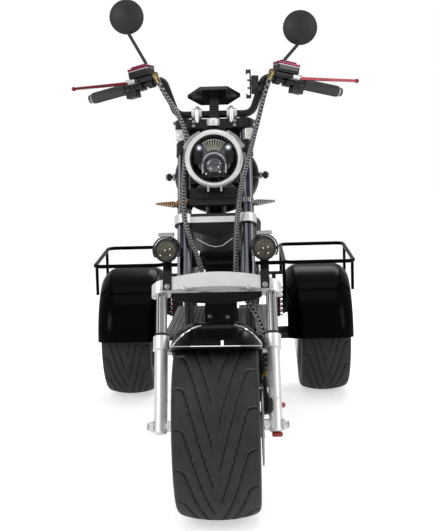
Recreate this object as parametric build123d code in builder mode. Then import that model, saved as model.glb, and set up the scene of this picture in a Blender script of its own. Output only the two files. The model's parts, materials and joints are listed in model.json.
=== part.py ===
# Three-wheeled electric chopper scooter: a fat-tyred steered front wheel in a wide raked fork, a twin-tube
# frame with tank, saddle and ribbed floorboards, and a driven rear axle under two fenders with guard rails.
# X to the right as seen from the front, Y from the front wheel to the rear axle, Z up from the road, in mm.
from build123d import *
import os
from math import cos, radians, sin, sqrt, tan

os.makedirs("parts", exist_ok=True)

# overall layout
wheelbase = 1450
rear_track = 788
tyre_radius = 238
front_tyre_width = 215
rear_tyre_width = 195
rake_deg = 27
steering_offset = 45

# rooms between pieces
seat_gap = 0.1
running_gap = 0.05
laid_gap = 0.3
disc_room = 3
cut_over = 5

# tyres and rims
rim_radius = 152
tread_drop = 9
tread_half_share = 0.7
bulge_radius = 196
bead_inset = 14
barrel_wall = 7
web_half = 7
hub_radius = 34
web_hole_radius = 28
web_hole_count = 5
axle_radius = 10
stub_radius = 15
stub_nut_radius = 24

# brake discs and calipers
disc_thickness = 4
disc_radius = 105
disc_bore_radius = 40
disc_hole_radius = 5
disc_hole_count = 12
caliper_length = 66
caliper_height = 46
caliper_wall = 11
front_caliper_back_share = 0.75
front_caliper_up_share = 0.4
rear_caliper_share = 0.6
disc_beside_tyre = 6

# fork
tube_spacing = 88
tube_radius = 20
leg_spacing = 150
leg_radius = 17.5
leg_cap_radius = 22
leg_cap_height = 36
leg_top = 242
leg_foot = 20
stanchion_radius = 15
bridge_bottom = 356
bridge_height = 42
bridge_arch = 20
bridge_depth = 56
bridge_reach = 28
lower_clamp_bottom = 568
lower_clamp_height = 28
clamp_height = 32
clamp_ring = 8
clamp_web = 44
stem_radius = 15
head_tube_radius = 29
head_play = 3
nut_radius = 16
stem_nut_radius = 22
nut_height = 14
axle_nut_length = 14
fender_post_up = 198
fender_post_radius = 6

# front fender
fender_radius = 268
fender_drop = 75
fender_half_width = 121
fender_flat_half = 44
fender_wall = 3
fender_front_height = 228
fender_cut_end_share = 0.3
fender_rear_deg = 62

# head lamp and fork shroud
lamp_forward = 100
lamp_radius = 80.5
lamp_rim_width = 13
lamp_rim_depth = 22
lamp_bowl_depth = 72
lamp_bowl_back_radius = 46
lamp_wall = 3
lens_thickness = 3
projector_drop_share = 0.3
lamp_plate_thickness = 4
lamp_plate_half_width = 68
lamp_plate_chamfer = 38
shroud_half_width = 72
shroud_room = 22
shroud_height = 58
lamp_over_shroud = 52
clamp_over_lamp = 142
shroud_bottom = lower_clamp_bottom + lower_clamp_height + shroud_room
shroud_top = shroud_bottom + shroud_height
lamp_up = shroud_top + lamp_over_shroud
upper_clamp_bottom = lamp_up + clamp_over_lamp
shroud_forward = 22
shroud_wall = 3
shroud_roll_radius = 13

# brake hoses
hose_radius = 7
hose_turn_share = 0.45
left_hose_end_share = 0.386
banjo_radius = 9
banjo_length = 18
fitting_radius = 5.5
fitting_length = 34
hose_block_width = 30
hose_block_height = 26
hose_block_depth = 28

# spot lamps
spot_spacing = 133
spot_radius = 31
spot_length = 46
spot_over_bridge = 76
spot_up = bridge_bottom + bridge_height + spot_over_bridge
spot_forward = 54
spot_tab_width = 24
spot_tab_thickness = 4
spot_hoop_room = 4
spot_hoop_width = 14
spot_box_height = 10
spot_box_width = 42

# front turn signals
signal_length = 62
signal_height = 14
signal_thickness = 14
signal_over_shroud = 12
signal_up = shroud_bottom + signal_over_shroud

# handlebar
bar_radius = 11
bar_over_clamp = 28
bar_up = upper_clamp_bottom + clamp_height + bar_over_clamp
riser_spacing = 52
riser_radius = 9
riser_ring = 7
riser_width = 30
bar_low_half = 112
bar_high_half = 152
bar_high_rise = 112
bar_high_back = 42
grip_outer_x = 388
grip_outer_back = 164
grip_outer_rise = 70
bar_low_bend = 34
bar_high_bend = 30
grip_radius = 17
grip_length = 128
grip_flange_radius = 22
grip_flange_length = 5
bar_end_length = 9

# controls on the bar
perch_width = 26
perch_ring = 6
reservoir_width = 38
reservoir_height = 22
reservoir_length = 70
reservoir_lift = 18
reservoir_cap = 6
reservoir_lip = 2
cap_tilt_share = 0.05
cylinder_radius = 9
cylinder_length = 78
cylinder_forward = 27
cylinder_up = 10
switch_length = 36
switch_ring = 8
switch_box_height = 27
switch_box_depth = 28
lever_length = 208
lever_width = 13
lever_thickness = 8
lever_end_width = 9
lever_ball_radius = 7
lever_rise = 30

# display
display_width = 157
display_depth = 66
display_thickness = 13
display_corner = 38
display_post_width = 28
display_post_thickness = 10
display_foot_radius = 17
display_foot_height = 15
display_post_rise = 76
display_lean_deg = 38

# spring clip for a bottle or telephone on the right of the bar
holder_share = 0.6
holder_width = 16
holder_height = 84
holder_wall = 4
holder_hook = 13
holder_reach = 27
holder_arm_radius = 5
holder_lift_share = 0.25

# mirrors
mirror_radius = 53
mirror_rim = 7
mirror_dome = 16
mirror_bulge_share = 0.67
mirror_stem_radius = 5
mirror_socket_radius = 8
mirror_stem_share = 0.8
mirror_spread = 268
mirror_back = 150
mirror_rise = 292
mirror_stagger = 24
mirror_clamp_at = 36
mirror_clamp_width = 18

# frame
frame_tube_radius = 16
cradle_radius = 14
cross_tube_radius = 13
spine_radius = 12
spine_front = 440
spine_rear = 790
spine_plate_setback = 500
spine_plate_height = 18
frame_spread = 96
frame_front = 470
frame_front_bend = 30
frame_mid_bend = 60
frame_tail_bend = 90
cradle_bend = 60
cradle_front = 455
cradle_z = 205
cradle_before_axle = 330
cradle_rear = wheelbase - cradle_before_axle
backbone_top_z = 790
frame_mid = 700
frame_mid_z = 600
tail_before_axle = 310
frame_tail = wheelbase - tail_before_axle
frame_tail_z = 470
loop_behind_axle = 190
loop_rear = wheelbase + loop_behind_axle
loop_z = 500
plate_thickness = 8

# tank
tank_front = 462
tank_widest = 560
tank_rear = 800
tank_half_width = 129
tank_half_height = 111
tank_z = 885
tank_front_share = 0.6
tank_broad_share = 0.97
tank_rear_share = 0.5
tank_broad_length = 90
tank_rear_sink = 34
peg_root_share = 0.96
peg_radius = 7
peg_cap_radius = 12
peg_length = 22
peg_cap_length = 12
peg_setback = 590

# saddle
seat_nose = 712
seat_before_axle = 150
seat_rear = wheelbase - seat_before_axle
seat_top_z = 742
seat_thickness = 118
seat_nose_half = 86
seat_half_width = 150
seat_corner_share = 0.8
seat_broad_share = 0.45
seat_rail_radius = 10
seat_rail_spacing = 60
post_before_axle = 314
seat_post_setback = wheelbase - post_before_axle
post_inset = 24
seat_rail_rear = seat_post_setback + post_inset
seat_post_radius = 8

# battery case and floorboards
case_front = 512
case_before_axle = 410
case_rear = wheelbase - case_before_axle
case_half_width = 150
deck_z = 412
board_thickness = 12
board_corner_radius = 18
board_inner = 56
board_outer = 168
board_front = 430
board_rear = wheelbase - case_before_axle
rib_count = 7
rib_width = 7
rib_height = 3
tunnel_half_width = 50
tunnel_peak = 690
tunnel_inset = 40
tunnel_rear = case_rear - tunnel_inset
tunnel_round = 34

# rear axle
beam_radius = 26
motor_radius = 72
motor_length = 150
arm_spacing = 128
shock_spacing = 200
shock_radius = 24
shock_rod_radius = 8
shock_foot_share = 0.2
shock_top_share = 0.85
stay_radius = 7
pivot_radius = 10
arm_radius = 12
pivot_setback = wheelbase - case_before_axle

# rear fenders
rear_fender_radius = 285
rear_fender_inner = 243
rear_fender_outer = 497
rear_fender_drop = 40
rear_fender_wall = 4
rear_fender_front_deg = 86
rear_fender_rear_deg = 80

# fender rails
rail_radius = 7.5
rail_z = 548
rail_rear_z = 590
rail_before_axle = 218
rail_front = wheelbase - rail_before_axle
rail_rear = loop_rear
rail_bend = 30
rail_leg = 118
rail_leg_radius = 6

# tail lamp
tail_width = 120
tail_height = 46
tail_depth = 36

# worked out from the layout
rear_overhang = rear_fender_radius * sin(radians(rear_fender_rear_deg))
overall_length = tyre_radius + wheelbase + rear_overhang
axle_y = tyre_radius - overall_length / 2
rear_y = axle_y + wheelbase


def at(setback):
    """Y of a point that lies so far behind the front axle."""
    return axle_y + setback


def fork_plane(x=0, back=0, up=0):
    """Section across the fork: local X sideways, local Y backwards, normal up along the fork."""
    upwards = (0, sin(radians(rake_deg)), cos(radians(rake_deg)))
    base = Plane(origin=(0, axle_y, tyre_radius), x_dir=(1, 0, 0), z_dir=upwards)
    return Plane(origin=base.from_local_coords(Vector(x, back, up)), x_dir=base.x_dir, z_dir=base.z_dir)


def fork_face(back=0):
    """View from the front on the fork: local X sideways, local Y up along the fork, normal forwards."""
    base = fork_plane(0, back, 0)
    return Plane(origin=base.origin, x_dir=base.x_dir, z_dir=-base.y_dir)


def fork_point(x, back, up):
    """World place of a point given in the fork's own directions."""
    return fork_plane(x, back, up).origin


def side_view(x, y, z, way=1):
    """Upright section seen from the side: local X backwards, local Y up, normal to the right, or left where way is -1."""
    return Plane(origin=(x, y, z), x_dir=(0, 1, 0), z_dir=(way, 0, 0))


def rod(start, end, radius):
    """Straight round bar between two places."""
    line = Vector(*end) - Vector(*start)
    with BuildPart() as bar:
        with BuildSketch(Plane(origin=start, z_dir=line)):
            Circle(radius)
        extrude(amount=line.length)
    return bar.part


def bent_tube(points, bends, radius):
    """Round tube along straight runs with bends between them."""
    with BuildPart() as tube:
        with BuildLine() as path:
            FilletPolyline(*points, radius=bends)
        with BuildSketch(Plane(origin=path.line @ 0, z_dir=path.line % 0)):
            Circle(radius)
        sweep(path=path.line)
    return tube.part


# wheels: tyre, rim and brake disc turn together
def make_tyre(place, width):
    """Low wide tyre with a rounded tread and soft shoulders."""
    tread_half = width / 2 * tread_half_share
    with BuildPart() as tyre:
        with BuildSketch(Plane(origin=place, x_dir=(1, 0, 0), z_dir=(0, -1, 0))):
            with BuildLine():
                tread = ThreePointArc(
                    (-tread_half, tyre_radius - tread_drop), (0, tyre_radius), (tread_half, tyre_radius - tread_drop)
                )
                right = TangentArc(tread @ 1, (width / 2, bulge_radius), tangent=tread % 1)
                right_side = TangentArc(right @ 1, (width / 2 - bead_inset, rim_radius), tangent=right % 1)
                left = TangentArc(tread @ 0, (-width / 2, bulge_radius), tangent=-(tread % 0))
                left_side = TangentArc(left @ 1, (bead_inset - width / 2, rim_radius), tangent=left % 1)
                Line(right_side @ 1, left_side @ 1)
            make_face()
        revolve(axis=Axis(place, (1, 0, 0)))
    return tyre.part


def make_rim(place, width, hub_left, hub_right, bore_radius):
    """Cast rim: barrel, web with round windows and hub with its bore."""
    half = width / 2 - bead_inset
    barrel = rim_radius - seat_gap
    with BuildPart() as rim:
        with BuildSketch(Plane(origin=place, x_dir=(1, 0, 0), z_dir=(0, -1, 0))):
            with BuildLine():
                Polyline(
                    (hub_left, bore_radius), (hub_right, bore_radius), (hub_right, hub_radius), (web_half, hub_radius),
                    (web_half, barrel - barrel_wall), (half, barrel - barrel_wall), (half, barrel), (-half, barrel),
                    (-half, barrel - barrel_wall), (-web_half, barrel - barrel_wall), (-web_half, hub_radius),
                    (hub_left, hub_radius), close=True,
                )
            make_face()
        revolve(axis=Axis(place, (1, 0, 0)))
        window_circle = (hub_radius + barrel - barrel_wall) / 2
        with BuildSketch(Plane(origin=place, x_dir=(0, 1, 0), z_dir=(1, 0, 0))):
            with PolarLocations(window_circle, web_hole_count):
                Circle(web_hole_radius)
        extrude(amount=web_half + cut_over, both=True, mode=Mode.SUBTRACT)
    return rim.part


def make_disc(place, side):
    """Drilled brake disc that starts at its place and grows towards its side."""
    with BuildPart() as disc:
        with BuildSketch(Plane(origin=place, x_dir=(0, 1, 0), z_dir=(side, 0, 0))):
            Circle(disc_radius)
            Circle(hub_radius + seat_gap, mode=Mode.SUBTRACT)
            with PolarLocations((disc_radius + disc_bore_radius) / 2 + disc_hole_radius * 2, disc_hole_count):
                Circle(disc_hole_radius, mode=Mode.SUBTRACT)
        extrude(amount=disc_thickness)
    return disc.part


front_place = (0, axle_y, tyre_radius)
front_disc_x = front_tyre_width / 2 + disc_beside_tyre
front_hub = front_disc_x + disc_thickness
with BuildPart() as front_tyre:
    add(make_tyre(front_place, front_tyre_width))
with BuildPart() as front_rim:
    add(make_rim(front_place, front_tyre_width, -front_hub, front_hub, axle_radius + running_gap))
with BuildPart() as front_disc:
    add(make_disc((front_disc_x, axle_y, tyre_radius), 1))

rear_x = rear_track / 2
rear_disc_x = rear_x - rear_tyre_width / 2 - disc_beside_tyre - disc_thickness
rear_wheels = {}
for side, name in ((-1, "left"), (1, "right")):
    place = (side * rear_x, rear_y, tyre_radius)
    inner = side * (rear_disc_x - rear_x)
    outer = side * (hub_radius * 2)
    rear_wheels["rear_tyre_" + name] = make_tyre(place, rear_tyre_width)
    rear_wheels["rear_rim_" + name] = make_rim(
        place, rear_tyre_width, min(inner, outer), max(inner, outer), stub_radius + running_gap
    )
    rear_wheels["rear_disc_" + name] = make_disc((side * rear_disc_x, rear_y, tyre_radius), side)

# fork: clamps, tubes, bridge, stanchions and legs
tube_top = upper_clamp_bottom + clamp_height + head_play
with BuildPart() as fork_tubes:
    with BuildSketch(fork_plane(up=bridge_bottom + bridge_arch)):
        with Locations((-tube_spacing, 0), (tube_spacing, 0)):
            Circle(tube_radius)
    extrude(amount=tube_top - bridge_bottom - bridge_arch)


def clamp_outline():
    """Yoke seen along the fork: a ring on each tube, a ring on the stem and a waisted web between them."""
    with BuildSketch() as outline:
        with Locations((-tube_spacing, 0), (tube_spacing, 0)):
            Circle(tube_radius + clamp_ring)
        with Locations((0, steering_offset)):
            Circle(head_tube_radius + clamp_ring)
        with BuildLine():
            Polyline(
                (-tube_spacing, -clamp_web / 2), (tube_spacing, -clamp_web / 2), (tube_spacing, clamp_web / 2),
                (head_tube_radius, steering_offset + clamp_web / 2), (-head_tube_radius, steering_offset + clamp_web / 2),
                (-tube_spacing, clamp_web / 2), close=True,
            )
        make_face()
        with Locations((-tube_spacing, 0), (tube_spacing, 0)):
            Circle(tube_radius + seat_gap, mode=Mode.SUBTRACT)
    return outline.sketch


with BuildPart() as lower_clamp:
    with BuildSketch(fork_plane(up=lower_clamp_bottom)):
        add(clamp_outline())
    extrude(amount=lower_clamp_height)
    with BuildSketch(fork_plane(back=steering_offset, up=lower_clamp_bottom)):
        Circle(stem_radius)
    extrude(amount=upper_clamp_bottom + clamp_height + nut_height - lower_clamp_bottom)

with BuildPart() as upper_clamp:
    with BuildSketch(fork_plane(up=upper_clamp_bottom)):
        add(clamp_outline())
        with Locations((0, steering_offset)):
            Circle(stem_radius + seat_gap, mode=Mode.SUBTRACT)
    extrude(amount=clamp_height)
    with BuildSketch(fork_plane(back=steering_offset, up=upper_clamp_bottom + clamp_height)):
        RegularPolygon(stem_nut_radius, 6)
        Circle(stem_radius + seat_gap, mode=Mode.SUBTRACT)
    extrude(amount=nut_height)

bridge_half = leg_spacing + bridge_reach
bridge_mid_top = bridge_bottom + bridge_arch + bridge_height
with BuildPart() as bridge_plate:
    with BuildSketch(fork_face(back=bridge_depth / 2)):
        with BuildLine():
            under = ThreePointArc(
                (-bridge_half, bridge_bottom), (0, bridge_bottom + bridge_arch), (bridge_half, bridge_bottom)
            )
            over = ThreePointArc(
                (-bridge_half, bridge_bottom + bridge_height - bridge_arch / 2),
                (0, bridge_mid_top),
                (bridge_half, bridge_bottom + bridge_height - bridge_arch / 2),
            )
            Line(under @ 0, over @ 0)
            Line(under @ 1, over @ 1)
        make_face()
    extrude(amount=bridge_depth)
    ends = bridge_plate.edges().filter_by(Plane.YZ)
    ends = ends.filter_by(lambda e: abs(abs(e.center().X) - bridge_half) < seat_gap)
    uprights = [e for e in ends if abs((e % 0).dot(fork_plane().z_dir)) > cos(radians(rake_deg))]
    fillet(uprights, bridge_depth / 2 - seat_gap)
    with BuildSketch(fork_plane(up=bridge_bottom + bridge_arch - seat_gap)):
        with Locations((-tube_spacing, 0), (tube_spacing, 0)):
            Circle(tube_radius + seat_gap)
    extrude(amount=bridge_mid_top, mode=Mode.SUBTRACT)
    with BuildSketch(fork_plane(up=bridge_bottom - cut_over)):
        with Locations((-leg_spacing, 0), (leg_spacing, 0)):
            Circle(stanchion_radius + seat_gap)
    extrude(amount=bridge_height * 2, mode=Mode.SUBTRACT)

stanchion_top = bridge_bottom + bridge_height - bridge_arch / 2
with BuildPart() as fork_stanchions:
    with BuildSketch(fork_plane(up=leg_top)):
        with Locations((-leg_spacing, 0), (leg_spacing, 0)):
            Circle(stanchion_radius)
    extrude(amount=stanchion_top + head_play - leg_top)

with BuildPart() as fork_legs:
    with BuildSketch(fork_plane(up=-leg_foot)):
        with Locations((leg_spacing, 0)):
            Circle(leg_radius)
    extrude(amount=leg_top + leg_foot - leg_cap_height)
    with BuildSketch(fork_plane(up=leg_top - leg_cap_height)):
        with Locations((leg_spacing, 0)):
            Circle(leg_cap_radius)
    extrude(amount=leg_cap_height)
    chamfer(fork_legs.edges().filter_by(GeomType.CIRCLE).sort_by(Axis.Z)[0], leg_radius / 4)
    post_start = fork_point(fender_half_width + laid_gap, 0, fender_post_up)
    post_end = fork_point(leg_spacing - leg_radius / 2, 0, fender_post_up)
    add(rod(post_start, post_end, fender_post_radius))
    with BuildSketch(side_view(0, axle_y, tyre_radius)):
        Circle(axle_radius + seat_gap)
    extrude(amount=leg_spacing * 2, mode=Mode.SUBTRACT)
    mirror(about=Plane.YZ)

with BuildPart() as front_axle:
    with BuildSketch(side_view(-leg_spacing - leg_radius - axle_nut_length, axle_y, tyre_radius)):
        Circle(axle_radius)
    extrude(amount=2 * (leg_spacing + leg_radius + axle_nut_length))
    for side in (-1, 1):
        with BuildSketch(side_view(side * (leg_spacing + leg_radius), axle_y, tyre_radius, side)):
            RegularPolygon(nut_radius, 6)
        extrude(amount=axle_nut_length / 2)
        with BuildSketch(side_view(side * (front_hub + running_gap), axle_y, tyre_radius, side)):
            Circle(leg_radius - fender_wall)
        extrude(amount=leg_spacing - leg_radius - front_hub - running_gap)

def fender_section(crown_radius, drop, half_width, flat_half, wall):
    """Arched fender section: flat crown, round shoulders that drop to the rims, even wall."""
    with BuildSketch() as section:
        with BuildLine():
            top = Line((-flat_half, crown_radius), (flat_half, crown_radius))
            right = TangentArc(top @ 1, (half_width, crown_radius - drop), tangent=top % 1)
            left = TangentArc(top @ 0, (-half_width, crown_radius - drop), tangent=-(top % 0))
            below = Line((-flat_half, crown_radius - wall), (flat_half, crown_radius - wall))
            right_below = TangentArc(below @ 1, (half_width - wall, crown_radius - drop), tangent=below % 1)
            left_below = TangentArc(below @ 0, (wall - half_width, crown_radius - drop), tangent=-(below % 0))
            Line(right @ 1, right_below @ 1)
            Line(left @ 1, left_below @ 1)
        make_face()
    return section.sketch


def fender(place, section, front_deg, rear_deg):
    """Section swept round the wheel from its front end over the top to its rear end."""
    with BuildPart() as shell:
        for axis_x, reach in ((1, front_deg), (-1, rear_deg)):
            with BuildSketch(Plane(origin=place, x_dir=(1, 0, 0), z_dir=(0, -1, 0))):
                add(section)
            revolve(axis=Axis(place, (axis_x, 0, 0)), revolution_arc=reach)
    return shell.part


front_section = fender_section(fender_radius, fender_drop, fender_half_width, fender_flat_half, fender_wall)
with BuildPart() as front_fender:
    add(fender(front_place, front_section, fender_rear_deg, fender_rear_deg))
    skirt_radius = fender_radius - fender_drop
    cut_end = fender_radius * fender_cut_end_share
    cut_end_up = sqrt(skirt_radius ** 2 - cut_end ** 2)
    cut_front = sqrt(fender_radius ** 2 - fender_front_height ** 2)
    cut_slope = (fender_front_height - cut_end_up) / (cut_front + cut_end)
    with BuildSketch(side_view(-fender_half_width - cut_over, axle_y, tyre_radius)):
        with BuildLine():
            Polyline(
                (-fender_radius - cut_over, cut_end_up + cut_slope * (fender_radius + cut_over + cut_end)),
                (cut_end, cut_end_up),
                (cut_end, -fender_radius), (-fender_radius - cut_over, -fender_radius), close=True,
            )
        make_face()
    extrude(amount=(fender_half_width + cut_over) * 2, mode=Mode.SUBTRACT)

# head lamp, its bracket plate, spot lamps, signals and the shroud between the fork tubes
lamp_y = fork_point(0, -lamp_forward, lamp_up).Y
lamp_z = fork_point(0, -lamp_forward, lamp_up).Z


def facing_front(x, y, z):
    """Upright section seen from the front: local X sideways, local Y up, normal forwards."""
    return Plane(origin=(x, y, z), x_dir=(1, 0, 0), z_dir=(0, -1, 0))


lens_radius = lamp_radius - lamp_rim_width
with BuildPart() as headlight_housing:
    with BuildSketch(Plane(origin=(0, lamp_y, lamp_z), x_dir=(0, -1, 0), z_dir=(1, 0, 0))):
        with BuildLine():
            bowl = ThreePointArc(
                (-lamp_rim_depth, lamp_radius),
                (-lamp_rim_depth - lamp_bowl_depth / 2, lamp_radius - lamp_wall * 4),
                (-lamp_rim_depth - lamp_bowl_depth, lamp_bowl_back_radius),
            )
            lip = ThreePointArc(
                (-lamp_rim_depth, lamp_radius), (-lamp_rim_width / 4, lamp_radius - lamp_rim_width / 4),
                (0, lamp_radius - lamp_rim_width / 2),
            )
            Line(lip @ 1, (0, lens_radius))
            Line((0, lens_radius), (-lamp_rim_depth, lens_radius))
            inner = ThreePointArc(
                (-lamp_rim_depth, lens_radius),
                (-lamp_rim_depth - lamp_bowl_depth / 2, lens_radius - lamp_wall * 2),
                (-lamp_rim_depth - lamp_bowl_depth + lamp_wall, lamp_bowl_back_radius - lamp_wall * 2),
            )
            Line(inner @ 1, (-lamp_rim_depth - lamp_bowl_depth + lamp_wall, 0))
            Line((-lamp_rim_depth - lamp_bowl_depth + lamp_wall, 0), (-lamp_rim_depth - lamp_bowl_depth, 0))
            Line((-lamp_rim_depth - lamp_bowl_depth, 0), bowl @ 1)
        make_face()
    revolve(axis=Axis((0, lamp_y, lamp_z), (0, 1, 0)))

unit_back = lamp_rim_depth + lamp_bowl_depth - lamp_wall
projector_drop = lens_radius * projector_drop_share
with BuildPart() as headlight_unit:
    with BuildSketch(facing_front(0, lamp_y + unit_back - laid_gap, lamp_z)):
        Circle(lamp_bowl_back_radius - lamp_wall * 4)
    extrude(amount=unit_back / 2)
    with BuildSketch(facing_front(0, lamp_y + unit_back / 2, lamp_z - projector_drop)):
        Circle(lens_radius / 2)
    extrude(amount=unit_back / 2 - lens_thickness * 3)

with BuildPart() as headlight_lens:
    with BuildSketch(facing_front(0, lamp_y + lens_thickness * 2, lamp_z)):
        Circle(lens_radius - seat_gap)
    extrude(amount=lens_thickness)

with BuildPart() as headlight_bracket:
    plate_top = upper_clamp_bottom - head_play
    plate_low = lamp_up - lamp_plate_chamfer
    with BuildSketch(fork_face(back=-tube_radius - laid_gap)):
        with BuildLine():
            Polyline(
                (-lamp_plate_half_width, plate_low), (lamp_plate_half_width, plate_low),
                (lamp_plate_half_width, plate_top - lamp_plate_chamfer),
                (lamp_plate_half_width - lamp_plate_chamfer, plate_top),
                (lamp_plate_chamfer - lamp_plate_half_width, plate_top),
                (-lamp_plate_half_width, plate_top - lamp_plate_chamfer), close=True,
            )
        make_face()
    extrude(amount=lamp_plate_thickness)
    for side in (-1, 1):
        with BuildSketch(fork_plane(up=plate_top - lamp_plate_chamfer * 2)):
            with Locations((side * tube_spacing, 0)):
                Circle(tube_radius + lamp_plate_thickness)
                Circle(tube_radius + seat_gap, mode=Mode.SUBTRACT)
            with Locations((side * (tube_spacing - tube_radius), -tube_radius)):
                Rectangle(tube_radius, lamp_plate_thickness * 3)
            with Locations((side * tube_spacing, 0)):
                Circle(tube_radius + seat_gap, mode=Mode.SUBTRACT)
        extrude(amount=lamp_plate_chamfer)
    with BuildSketch(Plane(origin=(0, lamp_y, lamp_z), x_dir=(0, -1, 0), z_dir=(1, 0, 0))):
        with BuildLine():
            bowl = ThreePointArc(
                (-lamp_rim_depth, lamp_radius + laid_gap),
                (-lamp_rim_depth - lamp_bowl_depth / 2, lamp_radius - lamp_wall * 4 + laid_gap),
                (-lamp_rim_depth - lamp_bowl_depth - laid_gap, lamp_bowl_back_radius + laid_gap),
            )
            bowl_back = -lamp_rim_depth - lamp_bowl_depth - laid_gap
            Polyline(bowl @ 1, (bowl_back, 0), (-lamp_rim_depth, 0), bowl @ 0)
        make_face()
    revolve(axis=Axis((0, lamp_y, lamp_z), (0, 1, 0)), mode=Mode.SUBTRACT)
    ear_x = lamp_radius - lamp_wall * 4 + laid_gap
    ear_y = lamp_y + lamp_rim_depth + lamp_bowl_depth / 2
    plate_mid = fork_point(0, -tube_radius - laid_gap - lamp_plate_thickness / 2, lamp_up)
    ear_reach = plate_mid.Y - ear_y + lamp_plate_thickness
    for side in (-1, 1):
        with BuildSketch(side_view(side * ear_x, ear_y + ear_reach, lamp_z, side)):
            with Locations((-ear_reach / 2, 0)):
                Rectangle(ear_reach, lamp_plate_thickness * 4)
        extrude(amount=lamp_plate_thickness)

with BuildPart() as fork_shroud:
    with BuildSketch(fork_face(back=-shroud_forward + shroud_wall)):
        with Locations((0, (shroud_bottom + shroud_top) / 2)):
            Rectangle(shroud_half_width * 2, shroud_top - shroud_bottom)
    extrude(amount=shroud_wall)
    roll_plane = Plane(
        origin=fork_point(-shroud_half_width, shroud_wall - shroud_forward, shroud_bottom + shroud_roll_radius),
        x_dir=(0, 1, 0), z_dir=(1, 0, 0),
    )
    with BuildSketch(roll_plane):
        Circle(shroud_roll_radius)
    extrude(amount=shroud_half_width * 2)
    split(bisect_by=fork_face(back=shroud_wall - shroud_forward), keep=Keep.TOP)
    for side in (-1, 1):
        with BuildSketch(fork_plane(up=shroud_bottom)):
            with Locations((side * (shroud_half_width - shroud_wall), -shroud_forward / 2)):
                Rectangle(shroud_wall * 2, shroud_forward)
            with Locations((side * tube_spacing, 0)):
                Circle(tube_radius + seat_gap, mode=Mode.SUBTRACT)
        extrude(amount=shroud_top - shroud_bottom)
        with BuildSketch(fork_plane(up=signal_up - seat_gap)):
            with Locations((side * tube_spacing, 0)):
                Circle(tube_radius + clamp_ring / 2 + seat_gap)
        extrude(amount=signal_height + seat_gap * 2, mode=Mode.SUBTRACT)

with BuildPart() as spotlights:
    with BuildSketch(fork_face(back=-bridge_depth / 2 - laid_gap)):
        with BuildLine():
            Polyline(
                (spot_spacing - spot_tab_width / 2, bridge_bottom + bridge_height / 4),
                (spot_spacing + spot_tab_width / 2, bridge_bottom + bridge_height / 4),
                (spot_spacing + spot_tab_width / 2, spot_up),
                (spot_spacing - spot_tab_width / 2, spot_up), close=True,
            )
        make_face()
    extrude(amount=spot_tab_thickness)
    spot_centre = fork_point(spot_spacing, -spot_forward, spot_up)
    with BuildSketch(facing_front(spot_centre.X, spot_centre.Y + spot_length / 2, spot_centre.Z)):
        Circle(spot_radius)
    extrude(amount=spot_length)
    with BuildSketch(facing_front(spot_centre.X, spot_centre.Y - spot_length / 2, spot_centre.Z)):
        Circle(spot_radius - spot_tab_thickness)
    extrude(amount=-spot_tab_thickness, mode=Mode.SUBTRACT)
    hoop_outer = spot_radius + spot_hoop_room + spot_tab_thickness
    with BuildSketch(facing_front(spot_centre.X, spot_centre.Y + spot_hoop_width / 2, spot_centre.Z)):
        Circle(hoop_outer)
        Circle(hoop_outer - spot_tab_thickness, mode=Mode.SUBTRACT)
        with Locations((0, -hoop_outer)):
            Rectangle(hoop_outer * 2, hoop_outer, mode=Mode.SUBTRACT)
        for side in (-1, 1):
            with Locations((side * (spot_radius + spot_hoop_room / 2), 0)):
                Rectangle(spot_hoop_room + spot_tab_thickness, spot_tab_thickness * 2)
        with Locations((0, hoop_outer + spot_box_height / 2 - spot_tab_thickness / 2)):
            Rectangle(spot_box_width, spot_box_height)
    extrude(amount=spot_hoop_width)
    mirror(about=Plane.YZ)

with BuildPart() as front_signals:
    with BuildSketch(fork_plane(up=signal_up)):
        with Locations((tube_spacing, 0)):
            Circle(tube_radius + clamp_ring / 2)
    extrude(amount=signal_height)
    with BuildSketch(fork_face(back=signal_thickness / 2)):
        with BuildLine():
            Polyline(
                (tube_spacing + tube_radius, signal_up + signal_height / 4),
                (tube_spacing + tube_radius, signal_up + signal_height * 3 / 4),
                (tube_spacing + signal_length / 2, signal_up + signal_height),
                (tube_spacing + tube_radius + signal_length, signal_up + signal_height * 3 / 4),
                (tube_spacing + signal_length / 2, signal_up), close=True,
            )
        make_face()
    extrude(amount=signal_thickness)
    with BuildSketch(fork_plane(up=signal_up - cut_over)):
        with Locations((tube_spacing, 0)):
            Circle(tube_radius + seat_gap)
    extrude(amount=signal_height + cut_over * 2, mode=Mode.SUBTRACT)
    mirror(about=Plane.YZ)

# handlebar: low bar in the risers, up both sides, then out and back to the grips
bar_mid = fork_point(0, 0, bar_up)


def bar_point(x, back, rise):
    """Place measured from the middle of the low bar."""
    return Vector(x, bar_mid.Y + back, bar_mid.Z + rise)


grip_outer = bar_point(grip_outer_x, grip_outer_back, grip_outer_rise)
bar_high = bar_point(bar_high_half, bar_high_back, bar_high_rise)
grip_way = (grip_outer - bar_high).normalized()
bar_right = [
    bar_point(bar_low_half, 0, 0),
    bar_high,
    grip_outer,
]
with BuildPart() as handlebar:
    add(bent_tube([bar_point(0, 0, 0)] + bar_right, (bar_low_bend, bar_high_bend), bar_radius))
    mirror(about=Plane.YZ)

with BuildPart() as bar_risers:
    for side in (-1, 1):
        with BuildSketch(fork_plane(x=side * riser_spacing, up=upper_clamp_bottom + clamp_height)):
            Circle(riser_radius)
        extrude(amount=bar_up - upper_clamp_bottom - clamp_height - bar_radius)
        with BuildSketch(side_view(side * riser_spacing - riser_width / 2, bar_mid.Y, bar_mid.Z)):
            Circle(bar_radius + riser_ring)
        extrude(amount=riser_width)
    with BuildSketch(side_view(-bar_low_half, bar_mid.Y, bar_mid.Z)):
        Circle(bar_radius + seat_gap)
    extrude(amount=bar_low_half * 2, mode=Mode.SUBTRACT)


def along_grip(distance):
    """Section across the right grip, so far out from its inner end."""
    start = grip_outer - grip_way * (grip_length + bar_end_length - distance)
    return Plane(origin=start, x_dir=(0, 0, 1), z_dir=grip_way)


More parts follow.
